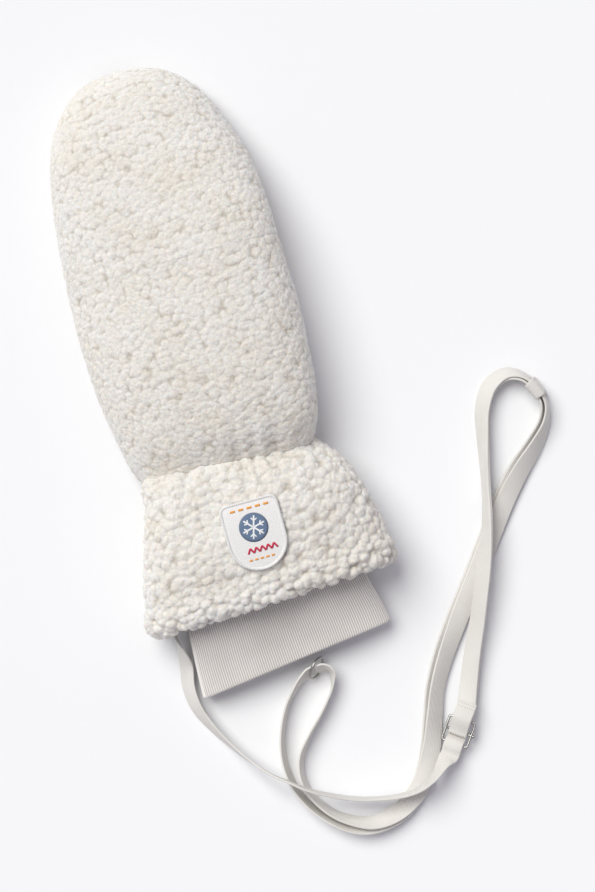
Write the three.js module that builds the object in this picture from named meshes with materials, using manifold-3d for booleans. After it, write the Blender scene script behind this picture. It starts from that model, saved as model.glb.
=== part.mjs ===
// A left-hand fleece mitten lying back up, with its thumb folded under the palm.
// +Y points to the fingertips, +X to the thumb side, +Z up; z = 0 is the surface it lies on.
// The origin is under the middle of the mitten. A flat elastic leash lies beside it. Millimetres.
import * as THREE from "three";
import { mergeVertices } from "three/addons/utils/BufferGeometryUtils.js";
import Module from "manifold-3d";

const wasm = await Module();
wasm.setup();

// Thicknesses and clearances
const PILE_WALL = 7; // fleece of the hand, cloth and pile together
const GAUNTLET_WALL = 8;
const GAUNTLET_FLOOR = 5.5; // the side it lies on is pressed flatter
const THUMB_WALL = 6;
const SUEDE = 2.5;
const RIB_WALL = 2;
const PATCH_THICK = 1.8;
const PATCH_GAP = 0.45; // the patch is rounder than the faceted gauntlet under it
const GAP = 0.3; // between pieces that meet

// Where the hand meets the gauntlet, and the hand's far end
const WRIST_Y = -49.5;
const TIP_Y = 164;

// Back of the hand: silhouette and crown height in rows from the wrist to the tip
const backRows = [
  { y: WRIST_Y, left: -52, right: 42.5, top: 38 },
  { y: -40, left: -54.5, right: 46.5, top: 43 },
  { y: -26, left: -57, right: 50, top: 47 },
  { y: -8, left: -60, right: 52, top: 49.5 },
  { y: 20, left: -62.5, right: 53.5, top: 50.5 },
  { y: 48, left: -62, right: 52.5, top: 49 },
  { y: 76, left: -60.5, right: 52, top: 46.5 },
  { y: 103, left: -57.5, right: 49, top: 42.5 },
  { y: 127, left: -52.5, right: 41.5, top: 36 },
  { y: 145, left: -43.5, right: 32, top: 28.5 },
  { y: 156.5, left: -32.5, right: 20.5, top: 20.5 },
  { y: 162, left: -21.5, right: 7, top: 13 },
  { y: TIP_Y, left: -8, right: -8, top: 6 },
];
const SIDE_ABOVE_SEAM = 6; // the widest line of the hand stands this far above its seam
const UNDER_CURL = (25 * Math.PI) / 180; // how far the back wraps under at both sides
const HAND_POWER = 2.4; // 2 is an ellipse, more is boxier
const HAND_SPLIT = 0.45; // share of its rows at which the back ends and the fingertip piece starts
const HAND_SPLIT_GAP = 0.001; // as a share of the rows, 0.3 mm

// Thumb, flattened under the palm: rows from the wrist to its tip
const thumbRows = [
  { y: WRIST_Y, left: -2, right: 41, top: 23, bottom: 0 },
  { y: -32, left: -3, right: 47, top: 23, bottom: 0 },
  { y: -12, left: -3.5, right: 50.5, top: 23, bottom: 0 },
  { y: 9, left: -4, right: 52, top: 23, bottom: 0 },
  { y: 17, left: -4.5, right: 52, top: 20, bottom: 0 },
  { y: 36, left: -5.5, right: 49.5, top: 20, bottom: 0 },
  { y: 56, left: -7, right: 42, top: 20, bottom: 0 },
  { y: 72, left: -6.5, right: 33.5, top: 19.5, bottom: 0 },
  { y: 84, left: -3, right: 26, top: 18, bottom: 0.5 },
  { y: 92, left: 2.5, right: 19, top: 15, bottom: 2.5 },
  { y: 95, left: 10, right: 10, top: 9, bottom: 9 },
];
const THUMB_POWER = 4;
const THUMB_TOP = 20;
const NOTCH_Y = 17; // the palm starts to cover the thumb here
const NOTCH_LENGTH = 3.6;
const THUMB_RIM = { low: 7, high: 24, from: -15, to: 14 }; // its inner wall rises between these y

// How the palm climbs over the thumb: the y where it follows the thumb's tip, where it comes down
// again, how far beside the thumb it starts to rise, and how much it drops outside the thumb
const PALM = {
  thumbEnd: 84,
  belowRim: 1.5,
  fallFrom: 90,
  fallTo: 126,
  riseReach: 18,
  sideDrop: 0.5,
};

// Gauntlet: rows from the wrist to the hem
const gauntletRows = [
  { y: WRIST_Y - GAP, left: -52.5, right: 42.5, top: 36.5, bottom: 0 },
  { y: -54.5, left: -51.3, right: 47.5, top: 39.5, bottom: 0 },
  { y: -62, left: -51.5, right: 53.5, top: 43.5, bottom: 0 },
  { y: -73, left: -55, right: 58.5, top: 46, bottom: 0 },
  { y: -87, left: -60, right: 62.5, top: 46.5, bottom: 0 },
  { y: -103, left: -64.5, right: 65, top: 45.5, bottom: 0 },
  { y: -116, left: -66.5, right: 66.5, top: 43.5, bottom: 0 },
  { y: -123.5, left: -65, right: 65, top: 41.5, bottom: 0 },
];
const GAUNTLET_POWER = 2.8;
const HEM_TILT = 0.0465; // the hem runs this much nearer the hand for each mm towards +X
const DENT = { x: -26, y: -75, depth: 4, across: 15, along: 9 };
const GATHERS = { count: 15, depth: 1.7, reach: 17 }; // pleats round the wrist

// Inner knitted cuff: it lies on the gauntlet's lower wall, then droops to the surface
const ribRows = [
  { y: -53, left: -38, right: 30, top: 25.5, bottom: 6.3 },
  { y: -75, left: -40, right: 38, top: 26.5, bottom: 6.3 },
  { y: -100, left: -45.5, right: 45, top: 26.5, bottom: 6 },
  { y: -123, left: -47.5, right: 48.5, top: 25.5, bottom: 5.9 },
  { y: -133, left: -48, right: 50.5, top: 23, bottom: 4.4 },
  { y: -143, left: -48.7, right: 52.7, top: 20, bottom: 1.2 },
  { y: -150, left: -49.2, right: 54.2, top: 18, bottom: 0 },
  { y: -157.5, left: -49.5, right: 55.5, top: 16.5, bottom: 0 },
];
const RIB_POWER = 3;
const MOUTH_TILT = 0.131;

// Patch on top of the gauntlet
const PATCH = { x: 0.5, top: -70, bottom: -107, width: 31, corner: 3.5 };

// Flat elastic strap
const STRAP_WIDTH = 10;
const STRAP_THICK = 1.2;
const PAIR_OFFSET = 1; // each strand of the doubled strap lies this far from their middle

// Slider on the strap: its middle, the way the strap runs through it, and its sizes
const SLIDER = { x: 74.7, y: -217.2, angle: 55, roll: 12, height: 5.4 };
const SLIDER_LENGTH = 14.8;
const SLIDER_WIDTH = 14.2;
const SLIDER_BAR = 1.4;

// Ring at the strap's far bight
const RING = { x: 11.8, y: -165.3, z: 7.2, inner: 5.9, wire: 0.8, squeeze: 0.86, lean: 58, turn: 46 };

// Cord rows: lean 0 lies flat, 90 stands on edge; lift is the height of the lowest edge above the
// surface; side is the strand's distance from the middle of the doubled strap.
const leadStart = [
  { x: -53.2, y: -100, lean: 90, lift: 16 },
  { x: -55, y: -110, lean: 90, lift: 16 },
  { x: -55.4, y: -120, lean: 88, lift: 15.6 },
  { x: -54.5, y: -129, lean: 84, lift: 12.5 },
  { x: -53.4, y: -137, lean: 108, lift: 6 },
  { x: -53.7, y: -146, lean: 132, lift: 0.8 },
  { x: -55.7, y: -158, lean: 130, lift: 0.1 },
  { x: -54.2, y: -170, lean: 124, lift: 0.1 },
  { x: -48.8, y: -182, lean: 112, lift: 0.1 },
  { x: -42, y: -193, lean: 103, lift: 1.2 },
  { x: -34.5, y: -203, lean: 97, lift: 4 },
  { x: -26, y: -212, lean: 94, lift: 8 },
  { x: -17.5, y: -218.5, lean: 92, lift: 10.4 },
  { x: -9.5, y: -224.7, lean: 90, lift: 10.4 },
  { x: 0.5, y: -230.5, lean: 88, lift: 8 },
  { x: 11, y: -235.5, lean: 87, lift: 5.6 },
  { x: 22.5, y: -239, lean: 88, lift: 5 },
  { x: 35.5, y: -241, lean: 86, lift: 6 },
  { x: 46, y: -240.5, lean: 84, lift: 7.6 },
  { x: 55, y: -237, lean: 78, lift: 7.4 },
  { x: 62.5, y: -231, lean: 56, lift: 5 },
];

// Both strands beside each other, from the slider round the top loop and down to the far bight
const pairRows = [
  { x: 83.6, y: -202.5, lean: 18, lift: 2.2 },
  { x: 88, y: -191.5, lean: 28, lift: 0.6 },
  { x: 93.5, y: -178, lean: 36, lift: 1 },
  { x: 99, y: -165.5, lean: 42, lift: 2.6 },
  { x: 104, y: -153, lean: 46, lift: 4.6 },
  { x: 109, y: -141, lean: 50, lift: 5.4 },
  { x: 114, y: -128, lean: 58, lift: 5 },
  { x: 118.5, y: -114, lean: 68, lift: 4.2 },
  { x: 122.3, y: -99, lean: 74, lift: 1 },
  { x: 125.5, y: -84, lean: 68, lift: 0.1 },
  { x: 128.3, y: -70.5, lean: 56, lift: 0.1 },
  { x: 131.5, y: -58, lean: 46, lift: 0.1 },
  { x: 138, y: -47.5, lean: 42, lift: 0.1 },
  { x: 147.5, y: -43.3, lean: 54, lift: 0.1 },
  { x: 156, y: -46.5, lean: 72, lift: 1.4 },
  { x: 161.3, y: -54.3, lean: 78, lift: 2 },
  { x: 163.6, y: -63.5, lean: 78, lift: 1.4 },
  { x: 160.5, y: -73.5, lean: 64, lift: 0.1 },
  { x: 152.5, y: -83, lean: 46, lift: 0.1 },
  { x: 141.5, y: -93.5, lean: 28, lift: 0.1 },
  { x: 130.5, y: -106, lean: 12, lift: 0.1 },
  { x: 120, y: -120, lean: 5, lift: 0.1 },
  { x: 109, y: -135, lean: 4, lift: 0.1 },
  { x: 98, y: -149.5, lean: 8, lift: 0.1 },
  { x: 87.5, y: -163, lean: 20, lift: 0.1 },
  { x: 77.5, y: -177, lean: 34, lift: 0.1 },
  { x: 69, y: -192, lean: 40, lift: 0.1 },
  { x: 63.5, y: -207, lean: 34, lift: 0.1 },
  { x: 58.8, y: -220.5, lean: 20, lift: 0.1 },
  { x: 52.5, y: -233.5, lean: 4, lift: 0.1 },
];
const KEEPER_ROW = 15; // the keeper sits round this row of the doubled strap
const KEEPER_LENGTH = 9.5;
const KEEPER_WALL = 0.6;

// The two strands part after the last shared row and meet again in the ring
const leadBight = [
  { x: 43.5, y: -244, lean: -14, lift: 0.1, side: -PAIR_OFFSET },
  { x: 31, y: -251, lean: -34, lift: 0.1, side: -1.2 },
  { x: 17, y: -252.5, lean: -56, lift: 0.1, side: -1.8 },
  { x: 4, y: -249.5, lean: -70, lift: 0.1, side: 0 },
  { x: -7.5, y: -239, lean: -76, lift: 0.1, side: 0 },
  { x: -15, y: -225.5, lean: -74, lift: 0.1, side: 0 },
  { x: -17.5, y: -210.5, lean: -74, lift: 0.1, side: 0 },
  { x: -15.2, y: -195.5, lean: -78, lift: 0.1, side: 0 },
  { x: -9, y: -181.5, lean: -80, lift: 0.1, side: 0 },
  { x: -1, y: -172, lean: -76, lift: 0.8, side: 0 },
  { x: 5, y: -167.6, lean: -66, lift: 2.2, side: 0 },
  { x: 8.2, y: -166.1, lean: -62, lift: 2.9, side: 0 },
  { x: 11.3, y: -166, lean: -62, lift: 2.9, side: 0 },
];
const returnBight = [
  { x: 43.5, y: -244, lean: -14, lift: 0.1, side: PAIR_OFFSET },
  { x: 31, y: -251, lean: -34, lift: 0.1, side: 1.2 },
  { x: 17, y: -252.5, lean: -56, lift: 0.1, side: 1.8 },
  { x: 3.5, y: -244.3, lean: -70, lift: 0.1, side: 0 },
  { x: -5.8, y: -234, lean: -76, lift: 0.1, side: 0 },
  { x: -10.4, y: -221.5, lean: -74, lift: 0.1, side: 0 },
  { x: -8.5, y: -209, lean: -74, lift: 0.1, side: 0 },
  { x: -1, y: -198.5, lean: -80, lift: 0.1, side: 0 },
  { x: 8.5, y: -188.5, lean: -84, lift: 0.1, side: 0 },
  { x: 16, y: -179, lean: -88, lift: 0.1, side: 0 },
  { x: 18.6, y: -171.8, lean: -100, lift: 0.8, side: 0 },
  { x: 18, y: -168.1, lean: -110, lift: 2.2, side: 0 },
  { x: 15.2, y: -166.1, lean: -118, lift: 2.9, side: 0 },
  { x: 12.1, y: -166, lean: -118, lift: 2.9, side: 0 },
];

// In the slider: s runs along the strap from its middle, h is the height above its plane
const leadThroughSlider = [
  { s: -13, h: 1.2 },
  { s: -9.2, h: 2.1 },
  { s: -6.9, h: 2 },
  { s: -5.3, h: 1.4 },
  { s: -3.6, h: -0.9 },
  { s: -1.9, h: -2.9 },
  { s: 0, h: -3.5 },
  { s: 1.9, h: -2.9 },
  { s: 3.6, h: -0.9 },
  { s: 5.3, h: 1.4 },
  { s: 6.9, h: 2 },
  { s: 9.2, h: 1.7 },
  { s: 12.5, h: 0.4 },
];
const returnRoundBar = [
  { s: 0.9, h: -1.5 },
  { s: -0.3, h: -1.7 },
  { s: -1.3, h: -1.1 },
  { s: -1.7, h: 0 },
  { s: -1.3, h: 1.1 },
  { s: -0.2, h: 1.7 },
  { s: 2.2, h: 2.4 },
  { s: 6.7, h: 3.5 },
  { s: 9.2, h: 3.3 },
  { s: 12.5, h: 2 },
];

// Colours of the materials
const cloth = (color, roughness) => new THREE.MeshStandardMaterial({ color, roughness });
const FLEECE = cloth(0xebe7e0, 0.95);
const SUEDE_SKIN = cloth(0xcfc1b4, 0.9);
const RIB_KNIT = cloth(0xb9b1ab, 0.9);
const FELT = cloth(0xf4f1ee, 0.9);
const ELASTIC = cloth(0xe4dfd8, 0.8);
const NICKEL = new THREE.MeshStandardMaterial({ color: 0xb8b4ae, roughness: 0.25, metalness: 1 });

// Numbers
const lerp = THREE.MathUtils.lerp;
const smooth = THREE.MathUtils.smoothstep;
const radians = THREE.MathUtils.degToRad;

// Every column of a table at place t, a row number with a fraction, on a smooth curve
function rowAt(rows, t) {
  const i = Math.min(Math.floor(t), rows.length - 2);
  const f = t - i;
  const before = rows[Math.max(i - 1, 0)];
  const after = rows[Math.min(i + 2, rows.length - 1)];
  const made = {};
  for (const key of Object.keys(rows[i])) {
    const [p, q] = [rows[i][key], rows[i + 1][key]];
    const [m, n] = [(q - before[key]) / 2, (after[key] - p) / 2];
    const bend = (2 * f ** 3 - 3 * f ** 2 + 1) * p + (f ** 3 - 2 * f ** 2 + f) * m;
    made[key] = bend + (3 * f ** 2 - 2 * f ** 3) * q + (f ** 3 - f ** 2) * n;
  }
  return made;
}

// The same for a table whose y runs one way, looked up by y
function rowAtY(rows, y) {
  const rising = rows.at(-1).y > rows[0].y;
  let [low, high] = [0, rows.length - 1];
  for (let i = 0; i < 30; i++) {
    const middle = (low + high) / 2;
    if (rowAt(rows, middle).y < y === rising) low = middle;
    else high = middle;
  }
  return rowAt(rows, (low + high) / 2);
}

// A point of a rounded-box outline; the angle runs from +X up over the top
function roundBox(angle, power) {
  const bend = (v) => Math.sign(v) * Math.abs(v) ** (2 / power);
  return [bend(Math.cos(angle)), bend(Math.sin(angle))];
}

// Height of such an outline above its middle, as a share of its half height
function roundBoxHeight(across, power) {
  return Math.max(0, 1 - Math.abs(across) ** power) ** (1 / power);
}

// A closed mesh from triangles of points, turned to face out
function closedGeometry(triangles) {
  const SAME = 1e-3;
  const kept = triangles.filter(
    ([a, b, c]) => a.distanceTo(b) > SAME && b.distanceTo(c) > SAME && c.distanceTo(a) > SAME,
  );
  const volume = kept.reduce((sum, [a, b, c]) => sum + a.dot(b.clone().cross(c)), 0);
  const facing = volume > 0 ? kept : kept.map(([a, b, c]) => [a, c, b]);
  const geometry = new THREE.BufferGeometry().setFromPoints(facing.flat());
  geometry.computeVertexNormals();
  return geometry;
}

// A wall between two grids of points with equal counts, closed along its borders
function wallGeometry(outer, inner, wraps) {
  const triangles = [];
  const quad = (a, b, c, d) => triangles.push([a, b, c], [a, c, d]);
  const [rows, columns] = [outer.length, outer[0].length];
  const last = wraps ? columns : columns - 1;
  for (let r = 0; r < rows - 1; r++) {
    for (let c = 0; c < last; c++) {
      const n = (c + 1) % columns;
      quad(outer[r][c], outer[r][n], outer[r + 1][n], outer[r + 1][c]);
      quad(inner[r][c], inner[r + 1][c], inner[r + 1][n], inner[r][n]);
    }
    if (wraps) continue;
    quad(outer[r][0], outer[r + 1][0], inner[r + 1][0], inner[r][0]);
    quad(outer[r][last], inner[r][last], inner[r + 1][last], outer[r + 1][last]);
  }
  for (let c = 0; c < last; c++) {
    const n = (c + 1) % columns;
    quad(outer[0][c], inner[0][c], inner[0][n], outer[0][n]);
    quad(outer[rows - 1][c], outer[rows - 1][n], inner[rows - 1][n], inner[rows - 1][c]);
  }
  return closedGeometry(triangles);
}

// manifold-3d solids from closed geometry and back
function toSolid(geometry) {
  const bare = new THREE.BufferGeometry().setAttribute("position", geometry.attributes.position);
  const merged = mergeVertices(bare, 1e-3);
  return new wasm.Manifold(
    new wasm.Mesh({
      numProp: 3,
      vertProperties: merged.attributes.position.array,
      triVerts: new Uint32Array(merged.index.array),
    }),
  );
}

function toGeometry(solid) {
  const mesh = solid.getMesh();
  const geometry = new THREE.BufferGeometry();
  geometry.setAttribute("position", new THREE.BufferAttribute(mesh.vertProperties, 3));
  geometry.setIndex(new THREE.BufferAttribute(mesh.triVerts, 1));
  const loose = geometry.toNonIndexed();
  loose.computeVertexNormals();
  return loose;
}

// Pleats round the wrist, fading away from it; only the upper side is pleated
function gather(angle, y) {
  const fade = 1 - smooth(Math.abs(y - WRIST_Y), 0, GATHERS.reach);
  const upper = smooth(Math.sin(angle), 0.05, 0.35);
  return GATHERS.depth * fade * upper * Math.cos(GATHERS.count * angle);
}

// Top of the thumb's inner side wall, low where the thumb opens into the hand
function thumbRim(y) {
  return lerp(THUMB_RIM.low, THUMB_RIM.high, smooth(y, THUMB_RIM.from, THUMB_RIM.to));
}

// Height of the palm's underside: flat on the surface at the little-finger side, over the thumb
// at the other, and coming down again beyond the thumb's tip and beside it
function palmFloor(x, y) {
  const thumb = rowAtY(thumbRows, Math.min(y, PALM.thumbEnd));
  const over = Math.min(thumbRim(y) - PALM.belowRim, THUMB_TOP + 1);
  const height = over * (1 - smooth(y, PALM.fallFrom, PALM.fallTo));
  const rise = smooth(x, thumb.left - PALM.riseReach, thumb.left + 2);
  const right = rowAtY(backRows, Math.min(y, TIP_Y - 1)).right;
  const beyond = thumb.right + 1;
  const slope = Math.max(10, right - 11 - beyond);
  const drop = PALM.sideDrop * smooth(y, 58, 92) * smooth(x, beyond, beyond + slope);
  return height * rise * (1 - drop);
}

// Height of the right seam: on the thumb's outer wall near the wrist, on the palm beyond it
function rightSeam(right, y) {
  const under = [13, 10, 7, 4].flatMap((d) => [-4, 0, 4].map((e) => palmFloor(right - d, y + e)));
  const palmEdge = Math.max(...under) + SUEDE;
  const thumbEdge = y < NOTCH_Y + NOTCH_LENGTH ? rowAtY(thumbRows, y).top : 0;
  return Math.max(palmEdge, thumbEdge) + GAP;
}

// The hand's back: outer and inner skin share the seam's flat end
function backPoint(t, angle, inset) {
  const row = rowAt(backRows, t);
  const wallShare = Math.min(1, (row.right - row.left) / (4 * PILE_WALL));
  const wall = inset ? PILE_WALL * wallShare : 0;
  const half = (row.right - row.left) / 2 - wall;
  const middle = (row.left + row.right) / 2;
  const y = inset ? lerp(WRIST_Y, TIP_Y - PILE_WALL, (row.y - WRIST_Y) / (TIP_Y - WRIST_Y)) : row.y;
  const near = smooth(row.right - row.left, 0, 50);
  const seamLeft = lerp(row.top, SUEDE + GAP, near);
  const seamRight = lerp(row.top, rightSeam(row.right, y), near);
  const [across, up] = roundBox(angle, HAND_POWER);
  const x = middle + half * across;
  const share = THREE.MathUtils.clamp((across / roundBox(UNDER_CURL, HAND_POWER)[0] + 1) / 2, 0, 1);
  const side = SIDE_ABOVE_SEAM * near;
  const base = lerp(seamLeft, seamRight, share) + side;
  const dome = row.top - wall - (seamLeft + seamRight) / 2 - side;
  const curl = roundBox(-UNDER_CURL, HAND_POWER)[1];
  const z = up >= 0 ? base + Math.max(dome, 0) * up : base - (side * up) / curl;
  const pleat = inset ? 0 : gather(angle, y);
  return new THREE.Vector3(x + pleat * Math.cos(angle), y, z + pleat * Math.sin(angle));
}

// The hand's fleece from one share of its rows to another. It is two solids that meet in a ring,
// so that collision can follow the hollow inside
function handShell(from, to) {
  const ROWS = 20;
  const COLUMNS = 26;
  const shares = Array.from({ length: ROWS + 1 }, (_, r) => r / ROWS).filter((s) => s > from && s < to);
  const rows = [from, ...shares, to].map((share) => share * (backRows.length - 1));
  const grid = (inset) =>
    rows.map((t) =>
      Array.from({ length: COLUMNS + 1 }, (_, c) => {
        const angle = lerp(Math.PI + UNDER_CURL, -UNDER_CURL, c / COLUMNS);
        return backPoint(t, angle, inset);
      }),
    );
  return wallGeometry(grid(false), grid(true), false);
}

// The palm is a sheet; where the thumb opens into the hand it stops beside the thumb
function palm() {
  const EDGE = 5; // the seam lies this far inside the silhouette
  const BESIDE = 8; // columns up to the thumb's inner side
  const OVER = 6; // columns over the thumb
  const yRows = [WRIST_Y, -38, -26, -15, -6, 2, 9, NOTCH_Y, NOTCH_Y + NOTCH_LENGTH];
  yRows.push(30, 42, 54, 65, 76, 87, 98, 108, 118, 128, 137, 145, 151, 155, 157.5, TIP_Y - EDGE);
  const stretch = (TIP_Y - WRIST_Y) / (TIP_Y - EDGE - WRIST_Y);
  const grid = (rise) =>
    yRows.map((y) => {
      const hand = rowAtY(backRows, WRIST_Y + (y - WRIST_Y) * stretch);
      const beside = rowAtY(thumbRows, Math.min(y, 50)).left - 0.4;
      const narrow = Math.min(EDGE, (hand.right - hand.left) / 2);
      const [left, right] = [hand.left + narrow, hand.right - narrow];
      const bend = Math.min(beside, lerp(left, right, 0.6));
      const end = y < NOTCH_Y + NOTCH_LENGTH ? bend : right;
      return Array.from({ length: BESIDE + OVER + 1 }, (_, c) => {
        const x = c < BESIDE ? lerp(left, bend, c / BESIDE) : lerp(bend, end, (c - BESIDE) / OVER);
        return new THREE.Vector3(x, y, palmFloor(x, y) + rise);
      });
    });
  return wallGeometry(grid(SUEDE), grid(0), false);
}

// A ring of points round a flattened tube at place t of its table
function tubeRing(rows, t, columns, power, inset, shape = (point) => point) {
  const row = rowAt(rows, t);
  const [left, right] = [row.left + inset.side, row.right - inset.side];
  const [bottom, top] = [Math.max(row.bottom, 0) + inset.bottom, row.top - inset.top];
  return Array.from({ length: columns }, (_, c) => {
    const angle = (c / columns) * 2 * Math.PI;
    const [across, up] = roundBox(angle, power);
    const x = (left + right) / 2 + ((right - left) / 2) * across;
    const z = (bottom + top) / 2 + ((top - bottom) / 2) * up;
    return shape(new THREE.Vector3(x, row.y, z), angle);
  });
}

const NO_INSET = { side: 0, bottom: 0, top: 0 };

// The thumb: a tube closed at its tip, with its top cut open where it joins the hand
function thumb() {
  const ROWS = 15;
  const COLUMNS = 20;
  const tip = thumbRows.at(-1).y;
  const tipWall = (point) => {
    point.y = lerp(WRIST_Y, tip - THUMB_WALL, (point.y - WRIST_Y) / (tip - WRIST_Y));
    return point;
  };
  const rings = (inner) =>
    Array.from({ length: ROWS + 1 }, (_, r) => {
      const t = (r / ROWS) * (thumbRows.length - 1);
      const row = rowAt(thumbRows, t);
      const wall = Math.min(THUMB_WALL, (row.right - row.left) / 3, (row.top - row.bottom) / 3);
      const inset = inner ? { side: wall, bottom: wall, top: wall } : NO_INSET;
      return tubeRing(thumbRows, t, COLUMNS, THUMB_POWER, inset, inner ? tipWall : undefined);
    });
  const tube = toSolid(wallGeometry(rings(false), rings(true), true));
  return toGeometry(tube.subtract(toSolid(thumbWindow())));
}

// What is cut away over the thumb's base: everything above a trough that climbs to its outer side
function thumbWindow() {
  const yRows = [-60, -40, -28, -15, -9, -3, 3, 9, 14];
  const grid = (top) =>
    yRows.map((y) => {
      const row = rowAtY(thumbRows, Math.max(y, WRIST_Y));
      const rim = thumbRim(y);
      const level = [0, 0.25, 0.5, 0.75].map((share) => lerp(-30, row.right - 13, share));
      const climb = [13, 11, 9, 7, 5, 3].map((inside) => row.right - inside);
      return [...level, ...climb, 80].map((x) => {
        const cut = lerp(rim, THUMB_RIM.high, smooth(x, row.right - 13, row.right - 3));
        return new THREE.Vector3(x, y, top ? 60 : cut);
      });
    });
  return wallGeometry(grid(true), grid(false), false);
}

// The gauntlet's skin: pleated at the wrist, dented beside the patch, its hem a little askew
function gauntletSkin(point, angle) {
  const pleat = gather(angle, point.y);
  point.x += pleat * Math.cos(angle);
  point.z += pleat * Math.sin(angle);
  if (Math.sin(angle) > 0) {
    const away = ((point.x - DENT.x) / DENT.across) ** 2 + ((point.y - DENT.y) / DENT.along) ** 2;
    point.z -= DENT.depth * Math.exp(-away);
  }
  return hemTilt(point);
}

function hemTilt(point) {
  point.y += HEM_TILT * point.x * smooth(-point.y, 60, 116);
  return point;
}

function gauntlet() {
  const ROWS = 10;
  const COLUMNS = 54;
  const inset = { side: GAUNTLET_WALL, bottom: GAUNTLET_FLOOR, top: GAUNTLET_WALL };
  const rings = (inner) =>
    Array.from({ length: ROWS + 1 }, (_, r) => {
      const t = (r / ROWS) * (gauntletRows.length - 1);
      const skin = inner ? hemTilt : gauntletSkin;
      return tubeRing(gauntletRows, t, COLUMNS, GAUNTLET_POWER, inner ? inset : NO_INSET, skin);
    });
  return wallGeometry(rings(false), rings(true), true);
}

function ribCuff() {
  const ROWS = 9;
  const COLUMNS = 28;
  const inset = { side: RIB_WALL, bottom: RIB_WALL, top: RIB_WALL };
  const tilt = (point) => {
    point.y += point.x * lerp(0, MOUTH_TILT, smooth(-point.y, 90, 157.5));
    return point;
  };
  const rings = (inner) =>
    Array.from({ length: ROWS + 1 }, (_, r) => {
      const t = (r / ROWS) * (ribRows.length - 1);
      return tubeRing(ribRows, t, COLUMNS, RIB_POWER, inner ? inset : NO_INSET, tilt);
    });
  return wallGeometry(rings(false), rings(true), true);
}

// Height of the gauntlet's top at a point of the plan
function gauntletTop(x, y) {
  const row = rowAtY(gauntletRows, y - HEM_TILT * x * smooth(-y, 60, 116));
  const across = (x - (row.left + row.right) / 2) / ((row.right - row.left) / 2);
  const middle = (row.top + row.bottom) / 2;
  return middle + (row.top - middle) * roundBoxHeight(across, GAUNTLET_POWER);
}

// Shield with a straight top, rounded corners and a round foot
function patchOutline() {
  const { x, top, bottom, width, corner } = PATCH;
  const half = width / 2;
  const shape = new THREE.Shape();
  shape.moveTo(x - half + corner, top);
  shape.lineTo(x + half - corner, top);
  shape.quadraticCurveTo(x + half, top, x + half, top - corner);
  shape.lineTo(x + half, bottom + half * 1.15);
  shape.bezierCurveTo(x + half, bottom + 6, x + half * 0.6, bottom, x, bottom);
  shape.bezierCurveTo(x - half * 0.6, bottom, x - half, bottom + 6, x - half, bottom + half * 1.15);
  shape.lineTo(x - half, top - corner);
  shape.quadraticCurveTo(x - half, top, x - half + corner, top);
  return shape.getSpacedPoints(28).slice(0, -1);
}

function patch() {
  const rings = [1, 0.72, 0.42, 0];
  const outline = patchOutline();
  const middle = new THREE.Vector2(PATCH.x, (PATCH.top + PATCH.bottom) / 2 + 1);
  const grid = (rise) =>
    rings.map((share) =>
      outline.map((corner) => {
        const { x, y } = middle.clone().lerp(corner, share);
        return new THREE.Vector3(x, y, gauntletTop(x, y) + rise);
      }),
    );
  return wallGeometry(grid(PATCH_GAP + PATCH_THICK), grid(PATCH_GAP), true);
}

// Heights of a strap's middle line from its lean and lift
function settle(row) {
  const tilt = radians(Math.abs(row.lean));
  const stack = Math.abs(row.side ?? 0) + STRAP_THICK / 2;
  const z = row.lift + (STRAP_WIDTH / 2) * Math.sin(tilt) + stack * Math.abs(Math.cos(tilt));
  return { x: row.x, y: row.y, z, lean: row.lean, side: row.side ?? 0, held: 0 };
}

// The slider's own directions: along the strap, across it, and out of its plane
function sliderFrame() {
  const angle = radians(SLIDER.angle);
  const roll = radians(SLIDER.roll);
  const along = new THREE.Vector3(Math.cos(angle), Math.sin(angle), 0);
  const right = new THREE.Vector3(Math.sin(angle), -Math.cos(angle), 0);
  const out = new THREE.Vector3(0, 0, Math.cos(roll)).addScaledVector(right, -Math.sin(roll));
  const across = new THREE.Vector3().crossVectors(along, out);
  const middle = new THREE.Vector3(SLIDER.x, SLIDER.y, SLIDER.height);
  return { along, across, out, middle };
}

function inSlider(rows) {
  const { along, out, middle } = sliderFrame();
  return rows.map(({ s, h }) => {
    const { x, y, z } = middle.clone().addScaledVector(along, s).addScaledVector(out, h);
    return { x, y, z, lean: SLIDER.roll, side: 0, held: 1 };
  });
}

// A strap's middle line, with its width at the lean of the table, or held across in the slider
class StrapPath extends THREE.Curve {
  constructor(rows, from = 0, to = 1) {
    super();
    Object.assign(this, { rows, from, to });
  }

  frameAt(t) {
    const last = this.rows.length - 1;
    const place = lerp(this.from, this.to, t) * last;
    const step = 1e-3;
    const before = rowAt(this.rows, Math.max(place - step, 0));
    const after = rowAt(this.rows, Math.min(place + step, last));
    const row = rowAt(this.rows, place);
    const along = new THREE.Vector3().subVectors(after, before).normalize();
    const level = new THREE.Vector3(along.y, -along.x, 0).normalize();
    const upward = new THREE.Vector3().crossVectors(level, along);
    const lean = radians(row.lean);
    const leaning = level.multiplyScalar(Math.cos(lean)).addScaledVector(upward, Math.sin(lean));
    const width = row.held > 0.5 ? sliderFrame().across : leaning;
    const face = new THREE.Vector3().crossVectors(width, along).normalize();
    const point = new THREE.Vector3(row.x, row.y, row.z).addScaledVector(face, row.side);
    return { point, along, width, face };
  }

  getPoint(t) {
    return this.frameAt(t).point;
  }

  getSpacedPoints(steps) {
    return this.getPoints(steps);
  }

  computeFrenetFrames(steps) {
    const frames = Array.from({ length: steps + 1 }, (_, i) => this.frameAt(i / steps));
    return {
      tangents: frames.map((f) => f.along),
      normals: frames.map((f) => f.width.clone().negate()),
      binormals: frames.map((f) => f.face),
    };
  }
}

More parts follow.
